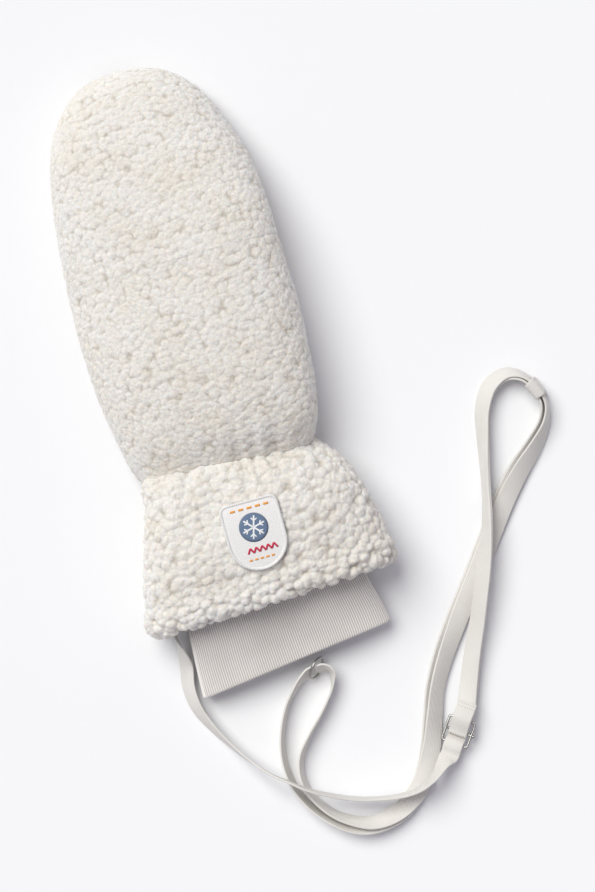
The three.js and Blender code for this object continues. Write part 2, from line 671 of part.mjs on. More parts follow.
// A flat band's outline with small chamfers and a point halfway along its wide sides
function bandShape(width, height, chamfer) {
  const [a, b] = [width / 2, height / 2];
  const corners = [
    [0, -b],
    [a - chamfer, -b],
    [a, -b + chamfer],
    [a, b - chamfer],
    [a - chamfer, b],
    [0, b],
    [-a + chamfer, b],
    [-a, b - chamfer],
    [-a, -b + chamfer],
    [-a + chamfer, -b],
  ];
  return new THREE.Shape(corners.map(([x, y]) => new THREE.Vector2(x, y)));
}

function strap(rows) {
  const section = bandShape(STRAP_WIDTH, STRAP_THICK, 0.3);
  const options = { steps: rows.length - 1, extrudePath: new StrapPath(rows) };
  return new THREE.ExtrudeGeometry(section, options);
}

const pairWithSide = (side) => pairRows.map((row) => settle({ ...row, side }));
const leadRows = [
  ...leadStart.map(settle),
  ...inSlider(leadThroughSlider),
  ...pairWithSide(-PAIR_OFFSET),
  ...leadBight.map(settle),
];
const returnRows = [
  ...inSlider(returnRoundBar),
  ...pairWithSide(PAIR_OFFSET),
  ...returnBight.map(settle),
];
const middleRows = pairRows.map((row) => ({ ...settle({ ...row, side: PAIR_OFFSET }), side: 0 }));

// The keeper is a short sleeve round both strands
function keeper() {
  const CLEAR = 0.8;
  const inner = [STRAP_WIDTH + 2 * CLEAR, 2 * PAIR_OFFSET + STRAP_THICK + 2 * CLEAR];
  const section = bandShape(inner[0] + 2 * KEEPER_WALL, inner[1] + 2 * KEEPER_WALL, 0.5);
  section.holes.push(bandShape(inner[0], inner[1], 0.2));
  const [here, next] = [middleRows[KEEPER_ROW], middleRows[KEEPER_ROW + 1]];
  const rowLength = Math.hypot(next.x - here.x, next.y - here.y);
  const reach = KEEPER_LENGTH / 2 / rowLength;
  const last = middleRows.length - 1;
  const path = new StrapPath(middleRows, (KEEPER_ROW - reach) / last, (KEEPER_ROW + reach) / last);
  return new THREE.ExtrudeGeometry(section, { steps: 8, extrudePath: path });
}

// The slider is a frame with a bar across its middle
function slider() {
  const frame = bandShape(SLIDER_WIDTH, SLIDER_LENGTH, 1.2);
  const slotWidth = SLIDER_WIDTH - 2 * SLIDER_BAR;
  const slotLength = (SLIDER_LENGTH - 3 * SLIDER_BAR) / 2;
  for (const side of [-1, 1]) {
    const slot = bandShape(slotWidth, slotLength, 0.3);
    const shift = (side * (slotLength + SLIDER_BAR)) / 2;
    frame.holes.push(new THREE.Path(slot.getPoints().map((p) => p.add({ x: 0, y: shift }))));
  }
  const options = { depth: SLIDER_BAR, bevelEnabled: false };
  return new THREE.ExtrudeGeometry(frame, options).translate(0, 0, -SLIDER_BAR / 2);
}

function mesh(name, geometry, material) {
  const made = new THREE.Mesh(geometry, material);
  made.name = name;
  return made;
}

const leash = new THREE.Group();
const lead = mesh("leash_lead", strap(leadRows), ELASTIC);
const back = mesh("leash_return", strap(returnRows), ELASTIC);
const slide = mesh("slider", slider(), NICKEL);
const { along, across, out, middle } = sliderFrame();
slide.applyMatrix4(new THREE.Matrix4().makeBasis(across, along, out).setPosition(middle));

// The ring hangs round the bight: its long way leans with the strap, its short way is turned
function ringMesh() {
  const lean = radians(RING.lean);
  const turn = radians(RING.turn);
  const long = new THREE.Vector3(0, Math.cos(lean), Math.sin(lean));
  const through = new THREE.Vector3(0, Math.sin(lean), -Math.cos(lean));
  const short = through.multiplyScalar(Math.cos(turn)).add({ x: Math.sin(turn), y: 0, z: 0 });
  const normal = new THREE.Vector3().crossVectors(long, short);
  const geometry = new THREE.TorusGeometry(RING.inner + RING.wire, RING.wire, 6, 20);
  geometry.scale(1, RING.squeeze, 1);
  const made = mesh("leash_ring", geometry, NICKEL);
  made.applyMatrix4(new THREE.Matrix4().makeBasis(long, short, normal));
  made.position.set(RING.x, RING.y, RING.z);
  return made;
}

leash.add(lead, back, slide, mesh("keeper", keeper(), FELT), ringMesh());

const mitten = new THREE.Group();
mitten.add(
  mesh("hand_back", handShell(0, HAND_SPLIT), FLEECE),
  mesh("hand_tip", handShell(HAND_SPLIT + HAND_SPLIT_GAP, 1), FLEECE),
  mesh("palm", palm(), SUEDE_SKIN),
  mesh("thumb", thumb(), FLEECE),
  mesh("gauntlet", gauntlet(), FLEECE),
  mesh("rib_cuff", ribCuff(), RIB_KNIT),
  mesh("patch", patch(), FELT),
);

const part = new THREE.Group();
part.add(mitten, leash);

export default part;
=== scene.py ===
import math

import bmesh
import bpy
import numpy as np
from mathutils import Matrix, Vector
from mathutils.bvhtree import BVHTree


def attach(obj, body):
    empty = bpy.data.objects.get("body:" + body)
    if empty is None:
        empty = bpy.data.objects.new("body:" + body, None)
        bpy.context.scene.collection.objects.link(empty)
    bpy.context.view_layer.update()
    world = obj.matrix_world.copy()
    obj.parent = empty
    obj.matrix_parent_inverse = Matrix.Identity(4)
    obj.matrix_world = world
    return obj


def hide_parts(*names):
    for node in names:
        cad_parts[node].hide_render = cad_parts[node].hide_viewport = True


bl_info = {
    "name": "Fleece mitten",
    "version": (1, 0, 0),
    "blender": (4, 5, 0),
    "location": "3D View > Sidebar > Mitten",
    "description": "Sherpa mitten with a suede palm, a rib cuff, a felt patch and a flat elastic leash",
    "category": "Object",
}

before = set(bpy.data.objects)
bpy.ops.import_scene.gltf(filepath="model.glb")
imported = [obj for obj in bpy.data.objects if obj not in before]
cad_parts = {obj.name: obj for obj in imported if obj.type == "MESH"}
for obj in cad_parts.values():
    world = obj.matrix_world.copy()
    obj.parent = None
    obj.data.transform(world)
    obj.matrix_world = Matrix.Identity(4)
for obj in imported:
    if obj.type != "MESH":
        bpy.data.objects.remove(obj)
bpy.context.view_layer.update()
BODY = "root"
MM = 0.001

# Strap route in millimetres: x, y, lean (0 flat, 90 on edge), lift of its lowest edge
LEAD_START = (
    (-53.2, -100, 90, 16),
    (-55, -110, 90, 16),
    (-55.4, -120, 88, 15.6),
    (-54.5, -129, 84, 12.5),
    (-53.4, -137, 108, 6),
    (-53.7, -146, 132, 0.8),
    (-55.7, -158, 130, 0.1),
    (-54.2, -170, 124, 0.1),
    (-48.8, -182, 112, 0.1),
    (-42, -193, 103, 1.2),
    (-34.5, -203, 97, 4),
    (-26, -212, 94, 8),
    (-17.5, -218.5, 92, 10.4),
    (-9.5, -224.7, 90, 10.4),
    (0.5, -230.5, 88, 8),
    (11, -235.5, 87, 5.6),
    (22.5, -239, 88, 5),
    (35.5, -241, 86, 6),
    (46, -240.5, 84, 7.6),
    (55, -237, 78, 7.4),
    (62.5, -231, 56, 5),
)
# Both strands beside each other, from the slider round the top loop to the far bight
PAIR = (
    (83.6, -202.5, 18, 2.2),
    (88, -191.5, 28, 0.6),
    (93.5, -178, 36, 1),
    (99, -165.5, 42, 2.6),
    (104, -153, 46, 4.6),
    (109, -141, 50, 5.4),
    (114, -128, 58, 5),
    (118.5, -114, 68, 4.2),
    (122.3, -99, 74, 1),
    (125.5, -84, 68, 0.1),
    (128.3, -70.5, 56, 0.1),
    (131.5, -58, 46, 0.1),
    (138, -47.5, 42, 0.1),
    (147.5, -43.3, 54, 0.1),
    (156, -46.5, 72, 1.4),
    (161.3, -54.3, 78, 2),
    (163.6, -63.5, 78, 1.4),
    (160.5, -73.5, 64, 0.1),
    (152.5, -83, 46, 0.1),
    (141.5, -93.5, 28, 0.1),
    (130.5, -106, 12, 0.1),
    (120, -120, 5, 0.1),
    (109, -135, 4, 0.1),
    (98, -149.5, 8, 0.1),
    (87.5, -163, 20, 0.1),
    (77.5, -177, 34, 0.1),
    (69, -192, 40, 0.1),
    (63.5, -207, 34, 0.1),
    (58.8, -220.5, 20, 0.1),
    (52.5, -233.5, 4, 0.1),
)
KEEPER_ROW = 15
# The two strands part and meet again in the ring: x, y, lean, lift, distance from their middle
LEAD_BIGHT = (
    (43.5, -244, -14, 0.1, -1),
    (31, -251, -34, 0.1, -1.2),
    (17, -252.5, -56, 0.1, -1.8),
    (4, -249.5, -70, 0.1, 0),
    (-7.5, -239, -76, 0.1, 0),
    (-15, -225.5, -74, 0.1, 0),
    (-17.5, -210.5, -74, 0.1, 0),
    (-15.2, -195.5, -78, 0.1, 0),
    (-9, -181.5, -80, 0.1, 0),
    (-1, -172, -76, 0.8, 0),
    (5, -167.6, -66, 2.2, 0),
    (8.2, -166.1, -62, 2.9, 0),
    (11.3, -166, -62, 2.9, 0),
)
RETURN_BIGHT = (
    (43.5, -244, -14, 0.1, 1),
    (31, -251, -34, 0.1, 1.2),
    (17, -252.5, -56, 0.1, 1.8),
    (3.5, -244.3, -70, 0.1, 0),
    (-5.8, -234, -76, 0.1, 0),
    (-10.4, -221.5, -74, 0.1, 0),
    (-8.5, -209, -74, 0.1, 0),
    (-1, -198.5, -80, 0.1, 0),
    (8.5, -188.5, -84, 0.1, 0),
    (16, -179, -88, 0.1, 0),
    (18.6, -171.8, -100, 0.8, 0),
    (18, -168.1, -110, 2.2, 0),
    (15.2, -166.1, -118, 2.9, 0),
    (12.1, -166, -118, 2.9, 0),
)
# In the slider: distance along the strap from its middle, height above its plane
LEAD_IN_SLIDER = (
    (-13, 1.2),
    (-9.2, 2.1),
    (-6.9, 2),
    (-5.3, 1.4),
    (-3.6, -0.9),
    (-1.9, -2.9),
    (0, -3.5),
    (1.9, -2.9),
    (3.6, -0.9),
    (5.3, 1.4),
    (6.9, 2),
    (9.2, 1.7),
    (12.5, 0.4),
)
# The sewn end runs back over the middle bar, round it and out again under itself
TAIL_ROUND_BAR = (
    (16.2, 2.5),
    (12.5, 3.35),
    (9.2, 4.6),
    (6.9, 4.85),
    (4.6, 4.1),
    (2.2, 2.8),
    (0.2, 1.85),
    (-1.2, 1.35),
    (-1.8, 0),
    (-1.3, -1.25),
    (0, -1.75),
    (1.3, -1.5),
    (2.5, -0.05),
    (3.5, 1.3),
    (4.6, 2.5),
    (6.7, 3.5),
    (9.2, 3.3),
    (12.5, 2),
)
SLIDER = {"x": 74.7, "y": -217.2, "z": 5.4, "angle": 55, "roll": 12, "length": 14.8, "width": 14.2}
RING = {"x": 11.8, "y": -165.3, "z": 7.2, "long": 6.7, "squeeze": 0.86, "lean": 58, "turn": 46}

# Rib cuff in millimetres: y, left, right, top, bottom
RIB_ROWS = (
    (-53, -38, 30, 25.5, 6.3),
    (-75, -40, 38, 26.5, 6.3),
    (-100, -45.5, 45, 26.5, 6),
    (-123, -47.5, 48.5, 25.5, 5.9),
    (-133, -48, 50.5, 23, 4.4),
    (-143, -48.7, 52.7, 20, 1.2),
    (-150, -49.2, 54.2, 18, 0),
    (-157.5, -49.5, 55.5, 16.5, 0),
)


class MittenFleece(bpy.types.PropertyGroup):
    hand_knob: bpy.props.FloatProperty(
        name="Hand knob", description="Width of one knob on the hand", default=0.003, unit="LENGTH"
    )
    hand_rise: bpy.props.FloatProperty(
        name="Hand rise", description="Height of the knobs on the hand", default=0.0011, unit="LENGTH"
    )
    thumb_knob: bpy.props.FloatProperty(
        name="Thumb knob", description="Width of one knob on the thumb", default=0.0035, unit="LENGTH"
    )
    thumb_rise: bpy.props.FloatProperty(
        name="Thumb rise", description="Height of the knobs on the thumb", default=0.0015, unit="LENGTH"
    )
    gauntlet_knob: bpy.props.FloatProperty(
        name="Gauntlet knob", description="Width of one knob on the gauntlet", default=0.0039, unit="LENGTH"
    )
    gauntlet_rise: bpy.props.FloatProperty(
        name="Gauntlet rise", description="Height of the gauntlet's knobs", default=0.0024, unit="LENGTH"
    )
    tips: bpy.props.FloatVectorProperty(
        name="Tips", description="Colour of the pile's tips", subtype="COLOR", default=(0.79, 0.768, 0.732)
    )
    # Painted shade: the darker colour put into the creases between the knobs
    roots: bpy.props.FloatVectorProperty(
        name="Crease_shade", description="Colour between the knobs", subtype="COLOR", default=(0.59, 0.545, 0.48)
    )


class MittenStrap(bpy.types.PropertyGroup):
    width: bpy.props.FloatProperty(
        name="Width", description="Width of the elastic", default=0.010, unit="LENGTH"
    )
    thick: bpy.props.FloatProperty(
        name="Thickness", description="Thickness of the elastic", default=0.0012, unit="LENGTH"
    )
    wire: bpy.props.FloatProperty(
        name="Wire", description="Radius of the slide's and the ring's wire", default=0.0007, unit="LENGTH"
    )
    colour: bpy.props.FloatVectorProperty(
        name="Colour", description="Colour of the elastic", subtype="COLOR", default=(0.74, 0.715, 0.68)
    )


class MittenTrim(bpy.types.PropertyGroup):
    suede: bpy.props.FloatVectorProperty(
        name="Suede", description="Colour of the palm", subtype="COLOR", default=(0.62, 0.53, 0.44)
    )
    knit: bpy.props.FloatVectorProperty(
        name="Knit", description="Colour of the rib cuff", subtype="COLOR", default=(0.85, 0.81, 0.775)
    )
    ribs: bpy.props.IntProperty(name="Ribs", description="Number of ribs round the cuff", default=180)
    rib_depth: bpy.props.FloatProperty(
        name="Rib depth", description="Height of one rib", default=0.00055, unit="LENGTH"
    )
    felt: bpy.props.FloatVectorProperty(
        name="Felt", description="Colour of the patch", subtype="COLOR", default=(0.83, 0.81, 0.8)
    )


class MittenStage(bpy.types.PropertyGroup):
    distance: bpy.props.FloatProperty(
        name="Distance", description="Height of the camera", default=1.5, unit="LENGTH"
    )
    lens: bpy.props.FloatProperty(name="Lens", description="Focal length in mm", default=115)
    turn: bpy.props.FloatProperty(
        name="Turn", description="Turn of the camera about Z", default=math.radians(-15.4), subtype="ANGLE"
    )
    aim: bpy.props.FloatVectorProperty(
        name="Aim", description="Point under the camera", size=2, default=(0.033, -0.0505), unit="LENGTH"
    )
    key: bpy.props.FloatProperty(name="Key light", description="Strength of the key light", default=2.62)
    softness: bpy.props.FloatProperty(
        name="Softness", description="Spread of the key light", default=math.radians(42), subtype="ANGLE"
    )
    sky: bpy.props.FloatProperty(name="Sky", description="Strength of the surrounding light", default=0.395)


# Nodes
class NodeWriter:
    """Adds nodes to a tree, sets their values and links the sockets that they are given."""

    def __init__(self, tree):
        self.tree = tree

    def add(self, kind, values=None, **settings):
        node = self.tree.nodes.new(kind)
        for name, value in settings.items():
            setattr(node, name, value)
        for key, value in (values or {}).items():
            if isinstance(value, bpy.types.NodeSocket):
                self.tree.links.new(value, node.inputs[key])
            else:
                node.inputs[key].default_value = value
        return node

    def math(self, operation, a, b=0.0):
        return self.add("ShaderNodeMath", {0: a, 1: b}, operation=operation).outputs[0]

    def vector(self, operation, a, b=(0.0, 0.0, 0.0)):
        return self.add("ShaderNodeVectorMath", {0: a, 1: b}, operation=operation).outputs[0]

    def scale(self, a, factor):
        node = self.add("ShaderNodeVectorMath", {0: a, "Scale": factor}, operation="SCALE")
        return node.outputs[0]

    def spread(self, value, low, high, to_low=0.0, to_high=1.0, shape="LINEAR"):
        inputs = {"Value": value, "From Min": low, "From Max": high, "To Min": to_low, "To Max": to_high}
        return self.add("ShaderNodeMapRange", inputs, interpolation_type=shape).outputs["Result"]

    def noise(self, vector, scale, detail=2.0, output="Fac"):
        inputs = {"Vector": vector, "Scale": scale, "Detail": detail}
        return self.add("ShaderNodeTexNoise", inputs).outputs[output]

    def mix(self, factor, a, b, blend="MIX"):
        node = self.add("ShaderNodeMix", data_type="RGBA", blend_type=blend)
        for socket, value in zip((node.inputs[0], node.inputs[6], node.inputs[7]), (factor, a, b)):
            if isinstance(value, bpy.types.NodeSocket):
                self.tree.links.new(value, socket)
            else:
                socket.default_value = value
        return node.outputs[2]

    def tinted(self, base, tone):
        return self.mix(1.0, base, tone, "MULTIPLY")

    def mottled(self, pattern, low, high, dark, pale):
        """Two tones mixed by a pattern's numbers from low to high."""
        return self.mix(self.spread(pattern, low, high), (*dark, 1), (*pale, 1))

    def object_place(self):
        return self.add("ShaderNodeTexCoord").outputs["Object"]

    def named(self, name):
        return self.add("GeometryNodeInputNamedAttribute", {"Name": name}, data_type="FLOAT").outputs[0]

    def stored(self, geometry, name, value):
        values = {"Geometry": geometry, "Name": name, "Value": value}
        node = self.add("GeometryNodeStoreNamedAttribute", values, data_type="FLOAT", domain="POINT")
        return node.outputs[0]


def colour(rgb, factor=1.0):
    return (*[min(1.0, part * factor) for part in rgb[:3]], 1.0)


def new_material(name, roughness, metallic=0.0, sheen=0.0, subsurface=0.0):
    """A material with its shader's plain numbers set, and a writer for the rest."""
    material = bpy.data.materials.new(name)
    material.use_nodes = True
    writer = NodeWriter(material.node_tree)
    shader = material.node_tree.nodes["Principled BSDF"]
    shader.inputs["Roughness"].default_value = roughness
    shader.inputs["Metallic"].default_value = metallic
    shader.inputs["Sheen Weight"].default_value = sheen
    shader.inputs["Sheen Roughness"].default_value = 0.5
    if subsurface:
        shader.inputs["Subsurface Weight"].default_value = 1.0
        shader.inputs["Subsurface Radius"].default_value = (1.0, 0.85, 0.7)
        shader.inputs["Subsurface Scale"].default_value = subsurface
    return material, writer, shader


def link_look(writer, shader, base, height, distance, strength):
    """Gives the shader its colour and a bump from a height."""
    bump = writer.add("ShaderNodeBump", {"Height": height, "Strength": strength, "Distance": distance})
    writer.tree.links.new(base, shader.inputs["Base Color"])
    writer.tree.links.new(bump.outputs[0], shader.inputs["Normal"])


def sherpa_material(fleece):
    """Curly pile: pale tips, beige painted shade in the creases between the knobs, fine fibres, and slow
    changes of tone.
    """
    material, writer, shader = new_material("sherpa_pile", 1.0, sheen=0.15, subsurface=0.0012)
    place = writer.object_place()
    depth = writer.add("ShaderNodeAttribute", attribute_name="pile_depth").outputs["Fac"]
    # Painted shade: the colour runs from the darker crease colour deep between the knobs to the tips' colour
    # on their tops
    tip = writer.spread(depth, 0.08, 0.75, shape="SMOOTHSTEP")
    pile = writer.mix(tip, colour(fleece.roots), colour(fleece.tips))
    slow = writer.noise(place, 45.0, 3.0)
    warm = writer.mottled(slow, 0.35, 0.7, (1, 1, 1), (0.965, 0.945, 0.91))
    fibres = writer.noise(place, 780.0, 5.0)
    wool = writer.mottled(fibres, 0.32, 0.62, (0.915, 0.908, 0.9), (1.04, 1.04, 1.045))
    link_look(writer, shader, writer.tinted(writer.tinted(pile, warm), wool), fibres, 0.0007, 0.9)
    return material


def suede_material(trim):
    """Suede: short nap brushed in patches, with fine grain."""
    material, writer, shader = new_material("suede", 0.92, sheen=0.35)
    place = writer.object_place()
    stretched = writer.vector("MULTIPLY", place, (1.0, 0.55, 1.0))
    nap = writer.noise(stretched, 1100.0, 4.0)
    patches = writer.noise(stretched, 60.0, 3.0)
    grain = writer.mix(writer.spread(nap, 0.3, 0.7), colour(trim.suede, 0.84), colour(trim.suede, 1.1))
    brushed = writer.mottled(patches, 0.35, 0.65, (0.93, 0.92, 0.91), (1.04, 1.03, 1.02))
    link_look(writer, shader, writer.tinted(grain, brushed), nap, 0.0003, 0.5)
    return material


def knit_material(trim):
    """Rib knit: painted light on the ridges and painted shade in the furrows and the seam's groove, a fine
    uneven bump in the thread and slow changes of tone.
    """
    material, writer, shader = new_material("rib_knit", 0.9, sheen=0.2)
    ridge_light = writer.add("ShaderNodeAttribute", attribute_name="ridge_light").outputs["Fac"]
    # Painted light and shade: a lighter copy of the knit colour on the ribs' crests, a darker one in their
    # furrows and in the seam's groove
    rib_light_and_shade = writer.mix(ridge_light, colour(trim.knit, 0.53), colour(trim.knit, 1.14))
    place = writer.object_place()
    height = writer.noise(place, 1500.0, 2.0)
    slow = writer.noise(place, 40.0, 2.0)
    tone = writer.mottled(slow, 0.35, 0.65, (0.95, 0.945, 0.94), (1.03, 1.03, 1.03))
    link_look(writer, shader, writer.tinted(rib_light_and_shade, tone), height, 0.0002, 0.45)
    return material


def elastic_material(strap):
    """Flat elastic of fine cords along it and a tight weft across it, with painted light on the cords and
    painted shade between them.
    """
    cords_across, weft_length = 11, 0.0008
    material, writer, shader = new_material("woven_elastic", 0.62, sheen=0.1)
    uv = writer.add("ShaderNodeUVMap", uv_map="UVMap").outputs["UV"]
    parts = writer.add("ShaderNodeSeparateXYZ", {0: uv})
    cords = writer.math("SINE", writer.math("MULTIPLY", parts.outputs["X"], 2 * math.pi * cords_across))
    weft = writer.math("SINE", writer.math("MULTIPLY", parts.outputs["Y"], 2 * math.pi / weft_length))
    height = writer.math("ADD", cords, writer.math("MULTIPLY", weft, 0.3))
    # Painted light and shade across the strap: lighter on the cords' crests, darker between them
    shade = writer.spread(cords, -1.0, 1.0)
    cord_shade = writer.mix(shade, colour(strap.colour, 0.96), colour(strap.colour, 1.03))
    place = writer.object_place()
    slow = writer.noise(place, 90.0, 2.0)
    tone = writer.mottled(slow, 0.3, 0.7, (0.97, 0.965, 0.955), (1.02, 1.02, 1.02))
    link_look(writer, shader, writer.tinted(cord_shade, tone), height, 0.0001, 0.5)
    return material


def felt_material(name, rgb, grain=1400.0):
    """Felt or thread: matted fibres with a faint mottling."""
    material, writer, shader = new_material(name, 0.88, sheen=0.25)
    place = writer.object_place()
    fibres = writer.noise(place, grain, 3.0)
    base = writer.mix(writer.spread(fibres, 0.3, 0.7), colour(rgb, 0.9), colour(rgb, 1.04))
    link_look(writer, shader, base, fibres, 0.0002, 0.4)
    return material


def metal_material():
    """Nickel wire, slightly dulled in patches."""
    material, writer, shader = new_material("nickel_wire", 0.36, metallic=1.0)
    place = writer.object_place()
    dull = writer.noise(place, 500.0, 3.0)
    base = writer.mottled(dull, 0.35, 0.65, (0.4, 0.39, 0.375), (0.5, 0.49, 0.47))
    rough = writer.spread(dull, 0.3, 0.7, 0.34, 0.42)
    writer.tree.links.new(base, shader.inputs["Base Color"])
    writer.tree.links.new(rough, shader.inputs["Roughness"])
    return material


# Geometry node trees
def new_tree(name, inputs):
    """An empty geometry node tree with the named inputs, and a writer for it."""
    tree = bpy.data.node_groups.new(name, "GeometryNodeTree")
    tree.interface.new_socket(name="Geometry", in_out="OUTPUT", socket_type="NodeSocketGeometry")
    tree.interface.new_socket(name="Geometry", in_out="INPUT", socket_type="NodeSocketGeometry")
    for label, kind in inputs:
        tree.interface.new_socket(name=label, in_out="INPUT", socket_type="NodeSocket" + kind)
    writer = NodeWriter(tree)
    entry = tree.nodes.new("NodeGroupInput")
    return tree, writer, entry.outputs


def close_tree(writer, geometry, material):
    real = writer.add("GeometryNodeRealizeInstances", {0: geometry})
    dressed = writer.add("GeometryNodeSetMaterial", {"Geometry": real.outputs[0], "Material": material})
    writer.add("NodeGroupOutput", {0: dressed.outputs[0]})


def run_tree(piece, tree, values):
    """Puts the tree on the piece, sets its inputs, and leaves the result as the piece's own mesh."""
    modifier = piece.modifiers.new("build", "NODES")
    modifier.node_group = tree
    for item in tree.interface.items_tree:
        if item.in_out == "INPUT" and item.name in values:
            modifier[item.identifier] = values[item.name]
    keep_result(piece)


def keep_result(piece):
    depsgraph = bpy.context.evaluated_depsgraph_get()
    depsgraph.update()
    evaluated = piece.evaluated_get(depsgraph)
    made = bpy.data.meshes.new_from_object(evaluated, preserve_all_data_layers=True, depsgraph=depsgraph)
    piece.modifiers.clear()
    piece.data = made


def knob_layer(writer, vector, size, merge):
    """Packed round knobs: height from 0 between them to 1 on top, and a random colour per knob."""
    scale = writer.math("DIVIDE", 1.0, size)
    cell = writer.add(
        "ShaderNodeTexVoronoi", {"Vector": vector, "Scale": scale, "Smoothness": merge}, feature="SMOOTH_F1"
    )
    share = writer.math("MULTIPLY", cell.outputs["Distance"], 0.95)
    dome = writer.math("SUBTRACT", 1.0, writer.math("MULTIPLY", share, share))
    return writer.math("MAXIMUM", dome, 0.0), cell.outputs["Color"]


def pile_tree():
    """Curly pile: packed round knobs of uneven height, with smaller curls on them, in loose clumps."""
    tree, writer, given = new_tree(
        "fleece_pile",
        (
            ("Knob Size", "Float"),
            ("Knob Rise", "Float"),
            ("Merge", "Float"),
            ("Crosswise", "Float"),
            ("Curl Size", "Float"),
            ("Curl Rise", "Float"),
            ("Seed", "Float"),
            ("Material", "Material"),
        ),
    )
    size, rise = given["Knob Size"], given["Knob Rise"]
    place = writer.add("GeometryNodeInputPosition").outputs[0]
    normal = writer.add("GeometryNodeInputNormal").outputs[0]
    pile, hem = writer.named("pile"), writer.named("hem")
    seeded = writer.vector("ADD", place, writer.scale((0.37, 0.61, 0.83), given["Seed"]))
    wander = writer.noise(seeded, writer.math("DIVIDE", 0.6, size), 1.0, "Color")
    wander = writer.vector("SUBTRACT", wander, (0.5, 0.5, 0.5))
    warped = writer.vector("ADD", seeded, writer.scale(wander, writer.math("MULTIPLY", size, 0.8)))
    across = writer.add(
        "ShaderNodeCombineXYZ", {0: writer.math("DIVIDE", 1.0, given["Crosswise"]), 1: 1.0, 2: 1.0}
    )
    cells = writer.vector("MULTIPLY", warped, across.outputs[0])
    knob, knob_colour = knob_layer(writer, cells, size, given["Merge"])
    curl, _ = knob_layer(writer, warped, given["Curl Size"], 0.1)
    clump = writer.noise(seeded, writer.math("DIVIDE", 0.16, size), 1.0)
    pick = writer.add("ShaderNodeSeparateXYZ", {0: knob_colour}).outputs[0]
    body = writer.math("ADD", knob, writer.math("MULTIPLY", pick, 0.3))
    body = writer.math("ADD", body, writer.math("MULTIPLY", clump, 0.8))
    body = writer.math("MULTIPLY", writer.math("SUBTRACT", body, 1.15), rise)
    hem_rise = writer.math("MULTIPLY", rise, 0.8)
    hem_part = writer.math("MULTIPLY", writer.math("MULTIPLY", knob, hem), hem_rise)
    curl_part = writer.math("MULTIPLY", writer.math("SUBTRACT", curl, 0.6), given["Curl Rise"])
    height = writer.math("ADD", writer.math("ADD", body, hem_part), curl_part)
    offset = writer.scale(normal, writer.math("MULTIPLY", height, pile))
    # The knobs' height, kept as pile_depth, which the sherpa material turns into painted shade in the
    # creases
    shade = writer.math("MULTIPLY", knob, writer.math("ADD", 0.8, writer.math("MULTIPLY", curl, 0.2)))
    shaded = writer.stored(given["Geometry"], "pile_depth", shade)
    moved = writer.add("GeometryNodeSetPosition", {"Geometry": shaded, "Offset": offset})
    split = writer.add("ShaderNodeSeparateXYZ", {0: writer.add("GeometryNodeInputPosition").outputs[0]})
    floor = writer.math("MAXIMUM", split.outputs[2], 0.0002)
    pressed = writer.add("ShaderNodeCombineXYZ", {0: split.outputs[0], 1: split.outputs[1], 2: floor})
    rested = writer.add(
        "GeometryNodeSetPosition", {"Geometry": moved.outputs[0], "Position": pressed.outputs[0]}
    )
    close_tree(writer, rested.outputs[0], given["Material"])
    return tree


def rib_tree():
    """Lengthwise ribs on a tube whose turn attribute runs once round it."""
    tree, writer, given = new_tree(
        "rib_knit", (("Ribs", "Int"), ("Rib Depth", "Float"), ("Material", "Material"))
    )
    turn, flat, groove = writer.named("turn"), writer.named("flat"), writer.named("groove")
    phase = writer.math("MULTIPLY", writer.math("MULTIPLY", turn, given["Ribs"]), 2 * math.pi)
    wave = writer.math("COSINE", phase)
    # Share of painted light: 1 on a rib's crest, 0 in a furrow and in the seam's groove, 0.8 on the flat
    # strip beside the seam
    ridge_light = writer.math("MAXIMUM", writer.spread(wave, -1.0, 1.0), writer.math("MULTIPLY", flat, 0.8))
    ridge_light = writer.math("MULTIPLY", ridge_light, writer.math("SUBTRACT", 1.0, groove))
    normal = writer.add("GeometryNodeInputNormal").outputs[0]
    lift = writer.math("MULTIPLY", writer.math("MULTIPLY", wave, 0.5), given["Rib Depth"])
    lift = writer.math("MULTIPLY", lift, writer.math("SUBTRACT", 1.0, flat))
    lift = writer.math("SUBTRACT", lift, writer.math("MULTIPLY", groove, 0.0006))
    ridged = writer.stored(given["Geometry"], "ridge_light", ridge_light)
    offset = writer.scale(normal, lift)
    moved = writer.add("GeometryNodeSetPosition", {"Geometry": ridged, "Offset": offset})
    close_tree(writer, moved.outputs[0], given["Material"])
    return tree


def stitch_tree():
    """Thread stitches along a path: each is a short rounded bead, turned a little from the path."""
    tree, writer, given = new_tree(
        "stitch_row",
        (
            ("Spacing", "Float"),
            ("Length", "Float"),
            ("Thickness", "Float"),
            ("Slant", "Float"),
            ("Material", "Material"),
        ),
    )
    line = writer.add("GeometryNodeMeshToCurve", {0: given["Geometry"]}).outputs[0]
    spaced = writer.add(
        "GeometryNodeResampleCurve", {"Curve": line, "Length": given["Spacing"]}, mode="LENGTH"
    ).outputs[0]
    bead = writer.add("GeometryNodeMeshUVSphere", {"Segments": 6, "Rings": 5, "Radius": 0.5}).outputs["Mesh"]
    shape = writer.add(
        "ShaderNodeCombineXYZ", {0: given["Length"], 1: given["Thickness"], 2: given["Thickness"]}
    )
    sized = writer.add("GeometryNodeTransform", {"Geometry": bead, "Scale": shape.outputs[0]}).outputs[0]
    tangent = writer.add("GeometryNodeInputTangent").outputs[0]
    ahead = writer.add("FunctionNodeAlignRotationToVector", {"Vector": tangent}, axis="X").outputs[0]
    slant = writer.add("ShaderNodeCombineXYZ", {2: given["Slant"]}).outputs[0]
    turned = writer.add(
        "FunctionNodeRotateRotation", {0: ahead, 1: slant}, rotation_space="LOCAL"
    ).outputs[0]
    placed = writer.add(
        "GeometryNodeInstanceOnPoints", {"Points": spaced, "Instance": sized, "Rotation": turned}
    )
    close_tree(writer, placed.outputs[0], given["Material"])
    return tree


